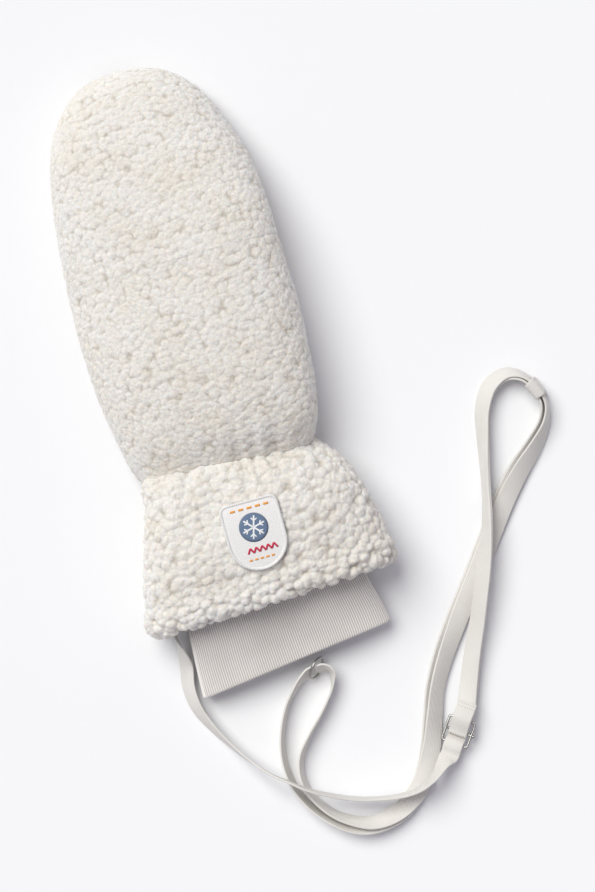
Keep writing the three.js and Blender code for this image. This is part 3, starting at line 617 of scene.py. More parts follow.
# Meshes
def new_piece(name, mesh):
    piece = bpy.data.objects.new(name, mesh)
    bpy.context.scene.collection.objects.link(piece)
    return piece


def smooth_faces(mesh):
    mesh.polygons.foreach_set("use_smooth", [True] * len(mesh.polygons))


def finish_piece(piece, slot, *nodes):
    """Smooth shading, the piece hung under the body's empty, and the CAD parts that it replaces hidden. The
    slot is not used.
    """
    smooth_faces(piece.data)
    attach(piece, BODY)
    if nodes:
        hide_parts(*nodes)
    return piece


def loft_mesh(name, rings, across, along, wraps=False):
    """A mesh through rings of points, with its UV map: across runs round a ring, along from ring to ring.
    It wraps from the last ring to the first, or is closed by a face at each end."""
    columns = len(rings[0])
    points = [point for ring in rings for point in ring]
    faces = []
    corners = []
    last = len(rings) if wraps else len(rings) - 1
    for r in range(last):
        s = (r + 1) % len(rings)
        for c in range(columns):
            d = (c + 1) % columns
            faces.append((r * columns + c, r * columns + d, s * columns + d, s * columns + c))
            corners += [
                (across[c], along[r]),
                (across[c + 1], along[r]),
                (across[c + 1], along[r + 1]),
                (across[c], along[r + 1]),
            ]
    if not wraps:
        for ring_number, turn in ((0, -1), (len(rings) - 1, 1)):
            order = list(range(columns))[::turn]
            faces.append([ring_number * columns + c for c in order])
            corners += [(across[c], along[ring_number]) for c in order]
    mesh = bpy.data.meshes.new(name)
    mesh.from_pydata(points, [], faces)
    uv = mesh.uv_layers.new(name="UVMap")
    uv.data.foreach_set("uv", [value for corner in corners for value in corner])
    face_outwards(mesh)
    return mesh


def face_outwards(mesh):
    work = bmesh.new()
    work.from_mesh(mesh)
    bmesh.ops.recalc_face_normals(work, faces=work.faces)
    if work.calc_volume(signed=True) < 0:
        bmesh.ops.reverse_faces(work, faces=work.faces)
    work.to_mesh(mesh)
    work.free()


def curve_at(rows, place):
    """Every column of a table at a row number with a fraction, on a smooth curve."""
    i = min(int(place), len(rows) - 2)
    f = place - i
    four = rows[max(i - 1, 0)], rows[i], rows[i + 1], rows[min(i + 2, len(rows) - 1)]
    made = []
    for a, p, q, b in zip(*four):
        start, end = (q - a) / 2, (b - p) / 2
        bend = (2 * f**3 - 3 * f**2 + 1) * p + (f**3 - 2 * f**2 + f) * start
        made.append(bend + (3 * f**2 - 2 * f**3) * q + (f**3 - f**2) * end)
    return made


def wire_mesh(name, points, radius, closed=False):
    """A round wire along points."""
    sides = 12
    rings = []
    count = len(points)
    normal = None
    along = [0.0]
    for i, point in enumerate(points):
        before = points[i - 1] if closed or i else point
        after = points[(i + 1) % count] if closed or i < count - 1 else point
        tangent = (after - before).normalized()
        if normal is None:
            normal = tangent.orthogonal().normalized()
        normal = (normal - tangent * normal.dot(tangent)).normalized()
        side = tangent.cross(normal)
        turns = [2 * math.pi * k / sides for k in range(sides)]
        rings.append([point + (normal * math.cos(a) + side * math.sin(a)) * radius for a in turns])
        along.append(along[-1] + (after - point).length)
    across = [k / sides for k in range(sides + 1)]
    return loft_mesh(name, rings, across, along, wraps=closed)


# Strap: in millimetres, half the distance between the strands' middles, how far they slip sideways
PAIR_OFFSET = 1.0
SLIP = 0.6
# A row of stitches runs from one edge of the strap (-1) to the other (1)
ROW_SHARES = [k / 4 - 1 for k in range(9)]


def slider_frame():
    """The slider's directions, along the strap, across it and out of its plane, and its middle."""
    angle, roll = math.radians(SLIDER["angle"]), math.radians(SLIDER["roll"])
    along = Vector((math.cos(angle), math.sin(angle), 0))
    right = Vector((math.sin(angle), -math.cos(angle), 0))
    out = Vector((0, 0, math.cos(roll))) - right * math.sin(roll)
    middle = Vector((SLIDER["x"], SLIDER["y"], SLIDER["z"]))
    return along, along.cross(out), out, middle


def settled(strap, x, y, lean, lift, side=0.0):
    """A strap row as x, y, z, lean, side and held, in millimetres, with z from its lean and lift."""
    tilt = math.radians(abs(lean))
    half, thick = strap.width / MM / 2, strap.thick / MM / 2
    z = lift + half * math.sin(tilt) + (abs(side) + thick) * abs(math.cos(tilt))
    return x, y, z, lean, side, 0.0


def in_slider(rows):
    along, _, out, middle = slider_frame()
    places = [middle + along * s + out * h for s, h in rows]
    return [(*place, SLIDER["roll"], 0.0, 1.0) for place in places]


def strap_frame(rows, place):
    """Point, direction across the strap and direction out of its face at a place of its table."""
    step = 1e-3
    before = Vector(curve_at(rows, max(place - step, 0))[:3])
    after = Vector(curve_at(rows, min(place + step, len(rows) - 1))[:3])
    x, y, z, lean, side, held = curve_at(rows, place)
    along = (after - before).normalized()
    level = Vector((along.y, -along.x, 0)).normalized()
    upward = level.cross(along)
    leaning = level * math.cos(math.radians(lean)) + upward * math.sin(math.radians(lean))
    share = min(1.0, max(0.0, held * 2 - 0.5))
    across = leaning.lerp(slider_frame()[1], share)
    across = (across - along * across.dot(along)).normalized()
    face = across.cross(along).normalized()
    return Vector((x, y, z)) + face * side, across, face


def band_outline(width, thick, bevel=0.35):
    """Rounded band section as (across, up) pairs, starting in the middle of its underside."""
    a, b = width / 2, thick / 2
    r = thick * bevel
    right_low = [(a - r * (1 - math.sin(t)), -b + r * (1 - math.cos(t))) for t in (0, 0.52, 1.05, 1.57)]
    right_high = [(x, -y) for x, y in reversed(right_low)]
    left_high = [(-x, y) for x, y in reversed(right_high)]
    left_low = [(-x, y) for x, y in reversed(right_low)]
    return [(0, -b), *right_low, *right_high, (0, b), *left_high, *left_low]


def ribbon(name, rows, strap):
    """The strap along its table, with the line that it follows and its length, in metres."""
    per_row = 7
    section = band_outline(strap.width / MM, strap.thick / MM)
    count = (len(rows) - 1) * per_row
    rings, line, along = [], [], [0.0]
    for i in range(count + 1):
        point, across, face = strap_frame(rows, i / per_row)
        rings.append([(point + across * a + face * b) * MM for a, b in section])
        line.append(point * MM)
        if i:
            along.append(along[-1] + (line[-1] - line[-2]).length)
    half = strap.width / MM
    shares = [a / half + 0.5 for a, _ in section]
    mesh = loft_mesh(name, rings, [*shares, shares[0]], along)
    return new_piece(name, mesh), line, along[-1]


def pair_rows(strap, side):
    """One strand of the pair. The two slip apart a little, except where something holds them."""
    rows = []
    for number, (x, y, lean, lift) in enumerate(PAIR):
        before, after = PAIR[max(number - 1, 0)], PAIR[min(number + 1, len(PAIR) - 1)]
        along = Vector((after[0] - before[0], after[1] - before[1])).normalized()
        held = min(number / 4, abs(number - KEEPER_ROW) / 4, (len(PAIR) - 1 - number) / 4, 1.0)
        slip = SLIP * side * held * (1 if number < KEEPER_ROW else -1)
        rows.append(settled(strap, x + along.y * slip, y - along.x * slip, lean, lift, side))
    return rows


def stitch_row(name, points, thread, spacing, length, thickness, slant=0.0, closed=False):
    """A row of thread stitches along points given in metres."""
    count = len(points)
    mesh = bpy.data.meshes.new(name)
    mesh.from_pydata(points, [(k, (k + 1) % count) for k in range(count if closed else count - 1)], [])
    piece = new_piece(name, mesh)
    values = {"Spacing": spacing, "Length": length, "Thickness": thickness, "Slant": slant}
    run_tree(piece, stitch_tree(), {**values, "Material": thread})
    return finish_piece(piece, "felt")


def tail_stitches(strap, thread):
    """Two rows across the strap where its end is sewn down above the slide."""
    along, across, out, middle = slider_frame()
    rows = []
    for number, (s, h) in enumerate(((15.1, 2.75), (13.2, 3.18))):
        start = middle + along * s + out * (h + strap.thick / MM / 2 + 0.05)
        points = [(start + across * share * 4.3) * MM for share in ROW_SHARES]
        rows.append(stitch_row(f"tail_stitches_{number}", points, thread, 0.0011, 0.0009, 0.00042))
    return rows


class MITTEN_OT_leash(bpy.types.Operator):
    """Flat elastic strap: the lead from the gauntlet to the far ring, and the strand that comes back"""

    bl_idname = "mitten.leash"
    bl_label = "Leash strap"

    def execute(self, context):
        strap = context.scene.mitten_strap
        elastic = elastic_material(strap)
        lead_rows = [settled(strap, *row) for row in LEAD_START]
        lead_rows += in_slider(LEAD_IN_SLIDER) + pair_rows(strap, -PAIR_OFFSET)
        lead_rows += [settled(strap, *row) for row in LEAD_BIGHT]
        back_rows = in_slider(TAIL_ROUND_BAR) + pair_rows(strap, PAIR_OFFSET)
        back_rows += [settled(strap, *row) for row in RETURN_BIGHT]
        lead, lead_line, lead_length = ribbon("strap_lead", lead_rows, strap)
        back, back_line, back_length = ribbon("strap_return", back_rows, strap)
        for piece in (lead, back):
            piece.data.materials.append(elastic)
        finish_piece(lead, "elastic", "leash_lead")
        finish_piece(back, "elastic", "leash_return")
        slider, ring = slider_piece(context), ring_piece(context)
        thread = felt_material("strap_thread", (0.62, 0.585, 0.53), 2600.0)
        keeper = keeper_piece(context, thread)
        tail = tail_stitches(strap, thread)
        back_line.reverse()
        return {"FINISHED"}


def slider_piece(context):
    """Bent-wire slide: a rounded frame, a bar across its middle and a small knob on the bar's end."""
    along, across, _, middle = slider_frame()
    wire = context.scene.mitten_strap.wire
    half_w, half_l = SLIDER["width"] * MM / 2, SLIDER["length"] * MM / 2 - wire
    corner = 1.1 * MM
    outline = []
    for k in range(4):
        for t in range(6):
            angle = math.pi / 2 * (k + t / 5)
            cx = (half_w - corner) * (1 if k in (0, 3) else -1)
            cy = (half_l - corner) * (1 if k in (0, 1) else -1)
            outline.append((cx + corner * math.cos(angle), cy + corner * math.sin(angle)))
    rim = [middle * MM + across * a + along * b for a, b in outline]
    bar = [middle * MM + across * half_w * share for share in (-0.98, -0.5, 0, 0.5, 1.0, 1.12)]
    mesh = wire_mesh("slide", rim, wire, closed=True)
    work = bmesh.new()
    work.from_mesh(mesh)
    work.from_mesh(wire_mesh("slide_bar", bar, wire))
    before = len(work.verts)
    bmesh.ops.create_uvsphere(work, u_segments=16, v_segments=10, radius=wire * 1.5)
    work.verts.ensure_lookup_table()
    for vert in list(work.verts)[before:]:
        vert.co += middle * MM + across * half_w * 1.16
    work.to_mesh(mesh)
    work.free()
    piece = new_piece("slide", mesh)
    piece.data.materials.append(metal_material())
    return finish_piece(piece, "nickel", "slider")


def ring_piece(context):
    """Oval wire ring round the strap's far bight."""
    wire = context.scene.mitten_strap.wire
    lean, turn = math.radians(RING["lean"]), math.radians(RING["turn"])
    long = Vector((0, math.cos(lean), math.sin(lean)))
    through = Vector((0, math.sin(lean), -math.cos(lean)))
    short = through * math.cos(turn) + Vector((math.sin(turn), 0, 0))
    middle = Vector((RING["x"], RING["y"], RING["z"])) * MM
    reach = RING["long"] * MM
    squeezed = reach * RING["squeeze"]
    turns = [2 * math.pi * k / 40 for k in range(40)]
    points = [middle + long * reach * math.cos(a) + short * squeezed * math.sin(a) for a in turns]
    piece = new_piece("far_ring", wire_mesh("far_ring", points, wire, closed=True))
    piece.data.materials.append(metal_material())
    return finish_piece(piece, "nickel", "leash_ring")


def keeper_piece(context, thread):
    """Sewn band round both strands, with a row of stitches near each edge."""
    strap = context.scene.mitten_strap
    width, thick = strap.width / MM, strap.thick / MM
    clear, wall, length = 0.8, 0.6, 9.5
    middle = [(*settled(strap, *row, PAIR_OFFSET)[:4], 0.0, 0.0) for row in PAIR]
    here, after = Vector(middle[KEEPER_ROW][:3]), Vector(middle[KEEPER_ROW + 1][:3])
    reach = length / 2 / (after - here).length
    inner = band_outline(width + 2 * clear, 2 * PAIR_OFFSET + thick + 2 * clear, 0.2)
    outer = band_outline(width + 2 * (clear + wall), 2 * PAIR_OFFSET + thick + 2 * (clear + wall), 0.3)
    steps = 12
    shares = [2 * k / steps - 1 for k in range(steps + 1)]
    rings = []
    for outline, order in ((outer, shares), (inner, shares[::-1])):
        for share in order:
            point, across, face = strap_frame(middle, KEEPER_ROW + reach * share)
            rings.append([(point + across * a + face * b) * MM for a, b in outline])
    along = [MM * k for k in range(len(rings) + 1)]
    across_shares = [k / len(outer) for k in range(len(outer) + 1)]
    mesh = loft_mesh("keeper_band", rings, across_shares, along, wraps=True)
    piece = new_piece("keeper_band", mesh)
    piece.data.materials.append(felt_material("keeper_cloth", (0.7, 0.67, 0.64)))
    pieces = [finish_piece(piece, "felt", "keeper")]
    lift = PAIR_OFFSET + thick / 2 + clear + wall + 0.03
    for number, end in enumerate((-0.8, 0.8)):
        point, across, face = strap_frame(middle, KEEPER_ROW + reach * end)
        outward = face if face.z > 0 else -face
        points = [(point + across * share * width * 0.46 + outward * lift) * MM for share in ROW_SHARES]
        pieces.append(stitch_row(f"keeper_stitches_{number}", points, thread, 0.0012, 0.0009, 0.0004))
    return pieces


# Fleece: where the hand meets the gauntlet, and where the hand's two solids meet
WRIST_Y = -0.0495
HAND_SPLIT_Y = 0.0576
# The gauntlet's hem is rolled between these distances from the origin, and runs a little askew
HEM = {"start": 0.108, "end": 0.118, "tilt": 0.0465}


def merged_copy(nodes):
    """CAD solids as one mesh with shared vertices and four-sided faces; their facing ends are joined."""
    work = bmesh.new()
    for node in nodes:
        work.from_mesh(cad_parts[node].data)
    bmesh.ops.remove_doubles(work, verts=work.verts, dist=1e-6)
    if len(nodes) > 1:
        open_joint(work)
    bmesh.ops.join_triangles(
        work,
        faces=work.faces,
        angle_face_threshold=math.radians(35),
        angle_shape_threshold=math.radians(50),
    )
    mesh = bpy.data.meshes.new(nodes[0] + "_smooth")
    work.to_mesh(mesh)
    work.free()
    return mesh


def open_joint(work):
    """Takes out the two ends that face each other across a small gap, and closes the gap."""
    reach, skin = 0.0008, 1e-5
    work.faces.ensure_lookup_table()
    tree = BVHTree.FromBMesh(work)
    facing = []
    for face in work.faces:
        start = face.calc_center_median() + face.normal * skin
        _, normal, _, _ = tree.ray_cast(start, face.normal, reach)
        if normal is not None and normal.dot(face.normal) < -0.8 and abs(face.normal.y) > 0.5:
            facing.append(face)
    bmesh.ops.delete(work, geom=facing, context="FACES")
    rim = [v for v in work.verts if v.is_boundary]
    bmesh.ops.remove_doubles(work, verts=rim, dist=reach)


def smooth_shell(name, nodes, voxel, passes=8):
    """The solids' surface without its facets, as even small quads."""
    piece = new_piece(name, merged_copy(nodes))
    rounded = piece.modifiers.new("round", "SUBSURF")
    rounded.levels = rounded.render_levels = 2
    even = piece.modifiers.new("even", "REMESH")
    even.mode = "VOXEL"
    even.voxel_size = voxel
    soft = piece.modifiers.new("soften", "SMOOTH")
    soft.factor = 0.5
    soft.iterations = passes
    keep_result(piece)
    return piece


def centre_line(nodes):
    """Middle x and z of solids along y, from the spread of their corners in slabs."""
    slabs, overlap = 14, 0.004
    points = np.concatenate([vertex_arrays(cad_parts[node].data)[0] for node in nodes])
    low, high = points[:, 1].min(), points[:, 1].max()
    edges = np.linspace(low, high, slabs + 1)
    ys, xs, zs = [], [], []
    for a, b in zip(edges[:-1], edges[1:]):
        inside = points[(points[:, 1] >= a - overlap) & (points[:, 1] <= b + overlap)]
        if len(inside) < 4:
            continue
        ys.append((a + b) / 2)
        xs.append((inside[:, 0].min() + inside[:, 0].max()) / 2)
        zs.append((inside[:, 2].min() + inside[:, 2].max()) / 2)
    return ys, xs, zs


def vertex_arrays(mesh):
    count = len(mesh.vertices)
    points, normals = np.empty(count * 3), np.empty(count * 3)
    mesh.vertices.foreach_get("co", points)
    mesh.vertex_normals.foreach_get("vector", normals)
    return points.reshape(-1, 3), normals.reshape(-1, 3)


def ramp(values, start, length):
    """0 up to the start, 1 past the length that follows it."""
    return np.clip((values - start) / length, 0, 1)


def outer_weight(mesh, nodes, hem=False):
    """1 on the skin that faces away from the solids' middle line, 0 on the one that faces it."""
    points, normals = vertex_arrays(mesh)
    ys, xs, zs = centre_line(nodes)
    away_x = points[:, 0] - np.interp(points[:, 1], ys, xs)
    away_z = points[:, 2] - np.interp(points[:, 1], ys, zs)
    length = np.sqrt(away_x**2 + away_z**2) + 1e-9
    facing = (away_x * normals[:, 0] + away_z * normals[:, 2]) / length
    fingertip = ramp(normals[:, 1], 0.3, 0.3) * (points[:, 1] > -0.03)
    wrist = ramp(np.abs(normals[:, 1]), 0.2, 0.3) * (np.abs(points[:, 1] - WRIST_Y) < 0.0035)
    weight = np.maximum(ramp(facing, 0.05, 0.3), np.maximum(fingertip, wrist))
    near_hem = np.zeros(len(points))
    if hem:
        down = HEM["tilt"] * points[:, 0] - points[:, 1]
        near_hem = ramp(down, HEM["start"], 0.008)
        weight = np.maximum(weight, ramp(-normals[:, 1], -0.1, 0.4) * (down > HEM["end"]))
    return weight, near_hem


def store(mesh, name, values):
    attribute = mesh.attributes.new(name, "FLOAT", "POINT")
    attribute.data.foreach_set("value", np.asarray(values, dtype=np.float32))


def refine(mesh, weight):
    """Splits each side of the faces that carry pile in two."""
    work = bmesh.new()
    work.from_mesh(mesh)
    work.verts.ensure_lookup_table()
    edges = [e for e in work.edges if weight[e.verts[0].index] > 0.02 and weight[e.verts[1].index] > 0.02]
    bmesh.ops.subdivide_edges(work, edges=edges, cuts=1, use_grid_fill=True, smooth=0.0)
    bmesh.ops.triangulate(work, faces=[f for f in work.faces if len(f.verts) > 4])
    work.to_mesh(mesh)
    work.free()


def pinch_wrist(mesh, tuck, reach, draw, gather):
    """Draws a piece in at the wrist with small gathers, and moves its end there towards the other piece."""
    hollow_middle, gathered = 0.012, 0.026
    points, _ = vertex_arrays(mesh)
    above = np.maximum(points[:, 2] - hollow_middle, 0)
    turn = np.arctan2(above, points[:, 0])
    fold = 0.5 + 0.5 * np.sin(17 * turn + 2.2 * np.sin(5 * turn))
    wide = np.clip(1 - np.abs(points[:, 1] - WRIST_Y) / gathered, 0, 1)
    near = np.clip(1 - np.abs(points[:, 1] - WRIST_Y) / reach, 0, 1)
    points[:, 1] += tuck * near
    points[:, 0] *= 1 - 0.3 * draw * near**2
    points[:, 2] -= above * (draw * near**2 + gather * fold * wide)
    mesh.vertices.foreach_set("co", points.ravel())
    mesh.update()


def cut_off(whole, name, keep_far):
    """The part of the hand on one side of the split, with the whole hand's normals so that no seam shows."""
    mesh = whole.copy()
    mesh.name = name
    work = bmesh.new()
    work.from_mesh(mesh)
    gone = [f for f in work.faces if (f.calc_center_median().y > HAND_SPLIT_Y) != keep_far]
    bmesh.ops.delete(work, geom=gone, context="FACES")
    work.to_mesh(mesh)
    work.free()
    kept = mesh.attributes["whole_normal"]
    normals = np.empty(len(mesh.vertices) * 3)
    kept.data.foreach_get("vector", normals)
    mesh.attributes.remove(kept)
    mesh.normals_split_custom_set_from_vertices(normals.reshape(-1, 3))
    return new_piece(name, mesh)


def fleece_piece(name, nodes, voxel, tree, values, wrist, hem=False):
    """A fleece piece with its pile. The hand's two halves are dressed whole and cut apart afterwards."""
    piece = smooth_shell(name, nodes, voxel)
    weight, _ = outer_weight(piece.data, nodes, hem)
    refine(piece.data, weight)
    weight, near_hem = outer_weight(piece.data, nodes, hem)
    store(piece.data, "pile", weight)
    store(piece.data, "hem", near_hem)
    pinch_wrist(piece.data, **wrist)
    run_tree(piece, tree, values)
    if len(nodes) == 1:
        finish_piece(piece, "fleece", *nodes)
        return
    _, normals = vertex_arrays(piece.data)
    smooth_faces(piece.data)
    whole = piece.data.attributes.new("whole_normal", "FLOAT_VECTOR", "POINT")
    whole.data.foreach_set("vector", normals.ravel())
    for node, keep_far in zip(nodes, (False, True)):
        finish_piece(cut_off(piece.data, f"fleece_{node}", keep_far), "fleece", node)
    bpy.data.objects.remove(piece)


class MITTEN_OT_fleece(bpy.types.Operator):
    """Hand, thumb and gauntlet in curly sherpa pile"""

    bl_idname = "mitten.fleece"
    bl_label = "Fleece"

    def execute(self, context):
        fleece = context.scene.mitten_fleece
        tree = pile_tree()
        hand = {
            "Knob Size": fleece.hand_knob,
            "Knob Rise": fleece.hand_rise,
            "Merge": 0.26,
            "Crosswise": 1.2,
            "Curl Size": 0.0016,
            "Curl Rise": 0.0003,
            "Seed": 1.0,
            "Material": sherpa_material(fleece),
        }
        thumb = {**hand, "Knob Size": fleece.thumb_knob, "Knob Rise": fleece.thumb_rise, "Seed": 2.0}
        gauntlet = {
            **hand,
            "Knob Size": fleece.gauntlet_knob,
            "Knob Rise": fleece.gauntlet_rise,
            "Merge": 0.18,
            "Crosswise": 1.15,
            "Curl Size": 0.002,
            "Curl Rise": 0.0005,
            "Seed": 3.0,
        }
        at_hand = {"tuck": -0.003, "reach": 0.018, "draw": 0.24, "gather": 0.06}
        at_thumb = {"tuck": -0.0012, "reach": 0.018, "draw": 0.2, "gather": 0.0}
        at_gauntlet = {"tuck": 0.0028, "reach": 0.008, "draw": 0.16, "gather": 0.08}
        fleece_piece("fleece_hand", ["hand_back", "hand_tip"], 0.00109, tree, hand, at_hand)
        fleece_piece("fleece_thumb", ["thumb"], 0.00125, tree, thumb, at_thumb)
        fleece_piece("fleece_gauntlet", ["gauntlet"], 0.00122, tree, gauntlet, at_gauntlet, hem=True)
        return {"FINISHED"}


class MITTEN_OT_palm(bpy.types.Operator):
    """Suede palm"""

    bl_idname = "mitten.palm"
    bl_label = "Suede palm"

    def execute(self, context):
        piece = smooth_shell("suede_palm", ["palm"], 0.0014, 10)
        piece.data.materials.append(suede_material(context.scene.mitten_trim))
        finish_piece(piece, "suede", "palm")
        return {"FINISHED"}


# Rib cuff: the flat strip beside its seam and the seam's groove, as shares of the way round it
SEAM_STRIP = (0.478, 0.504)
SEAM_GROOVE = 0.4795
# Its mouth runs askew below this y, in millimetres, more and more over the length that follows
MOUTH = {"start": -90, "length": 67.5, "tilt": 0.131}


class MITTEN_OT_rib_cuff(bpy.types.Operator):
    """Inner rib-knit cuff with a folded edge"""

    bl_idname = "mitten.rib_cuff"
    bl_label = "Rib cuff"

    def execute(self, context):
        trim = context.scene.mitten_trim
        columns = trim.ribs * 4
        last = len(RIB_ROWS) - 1
        wall = 2.0
        outer = [(last * k / 30, 0.0) for k in range(31)]
        edge = [(last, wall / 2 - wall / 2 * math.cos(t)) for t in (0.6, 1.1, 1.57, 2.04, 2.54)]
        inner = [(last * k / 16, wall) for k in range(16, -1, -1)]
        rings, along = [], [0.0]
        for place, inset in (*outer, *edge, *inner):
            fold = max(0.0, 1 - (2 * inset / wall - 1) ** 2)
            bulge = math.sqrt(fold) * wall / 2 if place == last else 0.0
            rings.append(rib_ring(place, inset, bulge, columns))
            if len(rings) > 1:
                along.append(along[-1] + (rings[-1][0] - rings[-2][0]).length)
        along.append(along[-1])
        across = [k / columns for k in range(columns + 1)]
        mesh = loft_mesh("rib_knit_cuff", rings, across, along, wraps=True)
        turns = np.array([(k % columns) / columns for k in range(len(mesh.vertices))])
        store(mesh, "turn", turns)
        store(mesh, "flat", (turns > SEAM_STRIP[0]) & (turns < SEAM_STRIP[1]))
        store(mesh, "groove", np.abs(turns - SEAM_GROOVE) < 0.0016)
        piece = new_piece("rib_knit_cuff", mesh)
        values = {"Ribs": trim.ribs, "Rib Depth": trim.rib_depth, "Material": knit_material(trim)}
        run_tree(piece, rib_tree(), values)
        finish_piece(piece, "rib_knit", "rib_cuff")
        return {"FINISHED"}


def rounded(share):
    """A circle's sine or cosine, pushed outwards towards a rectangle's."""
    return np.sign(share) * np.abs(share) ** (2 / 3)


def rib_ring(place, inset, bulge, columns):
    """Evenly spaced points round the cuff at a place of its table, in metres."""
    y, left, right, top, bottom = curve_at(RIB_ROWS, place)
    half, middle = (right - left) / 2 - inset, (right + left) / 2
    low, high = max(bottom, 0.25) + inset, top - inset
    turns = np.linspace(0, 2 * math.pi, 361)
    xs = middle + half * rounded(np.cos(turns))
    zs = (low + high) / 2 + (high - low) / 2 * rounded(np.sin(turns))
    lengths = np.concatenate(([0], np.cumsum(np.hypot(np.diff(xs), np.diff(zs)))))
    even = np.linspace(0, lengths[-1], columns, endpoint=False)
    xs, zs = np.interp(even, lengths, xs), np.interp(even, lengths, zs)
    share = ramp(-y, -MOUTH["start"], MOUTH["length"])
    ys = y + xs * MOUTH["tilt"] * share**2 * (3 - 2 * share) - bulge
    return [Vector((a, b, c)) * MM for a, b, c in zip(xs, ys, zs)]


# Patch, in millimetres, and its threads
PATCH = {"x": 0.5, "top": -70, "bottom": -107, "width": 31}
DISC = {"y": -84.5, "radius": 7.6, "rings": 7, "spokes": 36}
THREADS = {
    "slate": (0.13, 0.19, 0.3),
    "white": (0.86, 0.87, 0.88),
    "crimson": (0.56, 0.03, 0.08),
    "orange": (0.85, 0.36, 0.06),
}


def top_finder(mesh):
    """Gives a function for the height of the mesh's top at a plan point."""
    above = 0.2
    tree = BVHTree.FromPolygons([v.co for v in mesh.vertices], [p.vertices for p in mesh.polygons])

    def height(x, y):
        hit = tree.ray_cast(Vector((x, y, above)), Vector((0, 0, -1)))[0]
        return hit.z if hit else 0.0

    return height


def satin(points, height, base, rise, name):
    """A raised pad of thread over a grid of plan points, rounded from side to side."""
    rows, columns = len(points), len(points[0])
    rings = []
    for row in points:
        crown = [math.sin(math.pi * (c + 0.5) / columns) ** 0.5 * rise for c in range(columns)]
        top = [Vector((x, y, height(x, y) + base + up)) for (x, y), up in zip(row, crown)]
        under = [Vector((x, y, height(x, y) + base - 0.0002)) for x, y in reversed(row)]
        rings.append(top + under)
    count = 2 * columns
    return loft_mesh(name, rings, [k / count for k in range(count + 1)], [MM * r for r in range(rows + 1)])


def bar_points(start, end, width):
    """Plan grid of a straight bar."""
    rows, columns = 6, 5
    side = (end - start).orthogonal().normalized() * width / 2
    grid = []
    for r in range(rows):
        middle = start.lerp(end, r / (rows - 1))
        grid.append([tuple(middle + side * (2 * c / (columns - 1) - 1)) for c in range(columns)])
    return grid


def satin_bars(name, bars, height, base, rise, thread):
    """Straight bars of satin stitch as one piece, from their two ends and widths in the plan."""
    work = bmesh.new()
    for start, end, width in bars:
        work.from_mesh(satin(bar_points(start, end, width), height, base, rise, name))
    mesh = bpy.data.meshes.new(name)
    work.to_mesh(mesh)
    work.free()
    mesh.materials.append(thread)
    finish_piece(new_piece(name, mesh), "felt")


